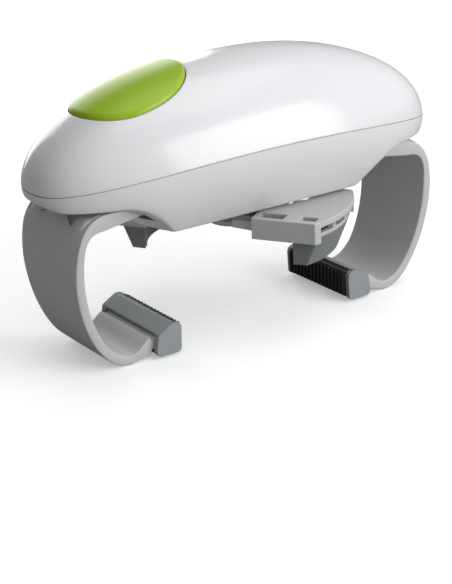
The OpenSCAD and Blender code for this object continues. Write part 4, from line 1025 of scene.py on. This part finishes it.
by_ray("Base Color", 0.32, 0.86)
glow_tone = by_ray("Emission Color", 0.0, 1.0)
paper_place = paper_nodes.new("ShaderNodeTexCoord")
paper_far = paper_nodes.new("ShaderNodeVectorMath")
paper_far.operation = "LENGTH"
paper_glow = paper_nodes.new("ShaderNodeMapRange")
paper_glow.inputs["From Min"].default_value = GLOW_NEAR
paper_glow.inputs["From Max"].default_value = GLOW_FAR
paper_glow.inputs["To Min"].default_value = GLOW_LOW
paper_glow.inputs["To Max"].default_value = GLOW_HIGH
paper_side = paper_nodes.new("ShaderNodeNewGeometry")
paper_clear = paper_nodes.new("ShaderNodeBsdfTransparent")
paper_mix = paper_nodes.new("ShaderNodeMixShader")
for a, b in [
    (paper_place.outputs["Object"], paper_far.inputs[0]),
    (paper_far.outputs["Value"], paper_glow.inputs["Value"]),
    (paper_glow.outputs["Result"], glow_tone.inputs["B"]),
    (paper_side.outputs["Backfacing"], paper_mix.inputs["Fac"]),
    (paper_shader.outputs["BSDF"], paper_mix.inputs[1]),
    (paper_clear.outputs["BSDF"], paper_mix.inputs[2]),
    (paper_mix.outputs["Shader"], paper_out.inputs["Surface"]),
]:
    paper_links.new(a, b)
floor.data.materials.append(paper)
print("paper with", len(paper_nodes), "nodes")

# %% [markdown]
# ## World
# The world only fills the shade. Its strength is a level, plus a share of the
# direction's x, less a share of its y, so that more comes from the right and
# the front. To the camera it shows as white.

# %% Fill with the world
SKY_LEVEL, SKY_X, SKY_Y = 0.40, 0.20, -0.26
world = bpy.data.worlds.new("studio") if scene.world is None else scene.world
scene.world = world
world.use_nodes = True
sky = world.node_tree
sky.nodes.clear()
sky_out = sky.nodes.new("ShaderNodeOutputWorld")
sky_mix = sky.nodes.new("ShaderNodeMixShader")
sky_fill = sky.nodes.new("ShaderNodeBackground")
sky_fill.inputs["Color"].default_value = (0.98, 0.99, 1.0, 1)
sky_white = sky.nodes.new("ShaderNodeBackground")
sky_white.inputs["Color"].default_value = (1, 1, 1, 1)
sky_white.inputs["Strength"].default_value = 1.0
sky_side = sky.nodes.new("ShaderNodeTexCoord")
sky_axes = sky.nodes.new("ShaderNodeSeparateXYZ")
sky_path = sky.nodes.new("ShaderNodeLightPath")
sky_across = sky.nodes.new("ShaderNodeMath")
sky_across.operation = "MULTIPLY_ADD"
sky_across.inputs[1].default_value = SKY_X
sky_across.inputs[2].default_value = SKY_LEVEL
sky_depth = sky.nodes.new("ShaderNodeMath")
sky_depth.operation = "MULTIPLY_ADD"
sky_depth.inputs[1].default_value = SKY_Y
for a, b in [
    (sky_side.outputs["Generated"], sky_axes.inputs[0]),
    (sky_axes.outputs["X"], sky_across.inputs[0]),
    (sky_axes.outputs["Y"], sky_depth.inputs[0]),
    (sky_across.outputs[0], sky_depth.inputs[2]),
    (sky_depth.outputs[0], sky_fill.inputs["Strength"]),
    (sky_path.outputs["Is Camera Ray"], sky_mix.inputs["Fac"]),
    (sky_fill.outputs[0], sky_mix.inputs[1]),
    (sky_white.outputs[0], sky_mix.inputs[2]),
    (sky_mix.outputs[0], sky_out.inputs["Surface"]),
]:
    sky.links.new(a, b)
print("world with", len(sky.nodes), "nodes")

# %% [markdown]
# ## Lamps
# The main lamp is large and stands to the front right, so that faces turned to
# the left fall into an even shade. One lamp above lights the top, and a low one
# behind lights the back.

# %% Hang the lamps
LAMP_SIZE, LAMP_TARGET = 1.0, Vector((0.0, 0.0, 0.07))


def lamp(name, at, power):
    """Square area lamp at a place in metres, turned to the target."""
    data = bpy.data.lights.new(name, "AREA")
    data.shape, data.size, data.energy = "SQUARE", LAMP_SIZE, power
    obj = bpy.data.objects.new(name, data)
    scene.collection.objects.link(obj)
    obj.location = at
    obj.rotation_euler = (LAMP_TARGET - Vector(at)).to_track_quat("-Z", "Y").to_euler()


lamp("key", (0.62, -1.2, 0.5), 11.6)
lamp("top", (0.25, -0.1, 1.25), 3.6)
lamp("rear", (0.25, 1.3, 0.3), 9.0)

# %% [markdown]
# ## Camera
# The camera looks down at the front from the left. Its place and its lens come
# from fitting a pinhole camera to the body's outline, with the body at its
# first size, so the place is scaled up. A small roll makes the picture level
# with the real one.

# %% Place the camera
AZIMUTH, ELEVATION, ROLL_TURN = np.radians([-33.74, 21.23, 2.26])
FIT_HALF_LEN, TO_RIGHT, TO_TOP, AWAY, AIM_Z = 91.53, -4.7, -48.4, 685, 70
SENSOR, FOCAL_PX, HEIGHT_PX = 24.0, 1706, 584
back = np.array([math.sin(AZIMUTH) * math.cos(ELEVATION),
                 -math.cos(AZIMUTH) * math.cos(ELEVATION), math.sin(ELEVATION)])
right = np.array([math.cos(AZIMUTH), math.sin(AZIMUTH), 0.0])
up = np.cross(back, right)
place = (right * TO_RIGHT + up * TO_TOP + back * AWAY) * (HALF_LEN / FIT_HALF_LEN) + [0, 0, AIM_Z]
view_right = right * math.cos(ROLL_TURN) - up * math.sin(ROLL_TURN)
view_up = right * math.sin(ROLL_TURN) + up * math.cos(ROLL_TURN)
camera = bpy.data.objects.new("camera", bpy.data.cameras.new("camera"))
scene.collection.objects.link(camera)
axes = np.column_stack([view_right, view_up, back, place * MM])
camera.matrix_world = Matrix([*axes.tolist(), (0, 0, 0, 1)])
camera.data.sensor_fit = "VERTICAL"
camera.data.sensor_height = SENSOR
camera.data.lens = SENSOR * FOCAL_PX / HEIGHT_PX
camera.data.clip_end = 50
scene.camera = camera
print("camera at", [round(float(v)) for v in place], "mm")
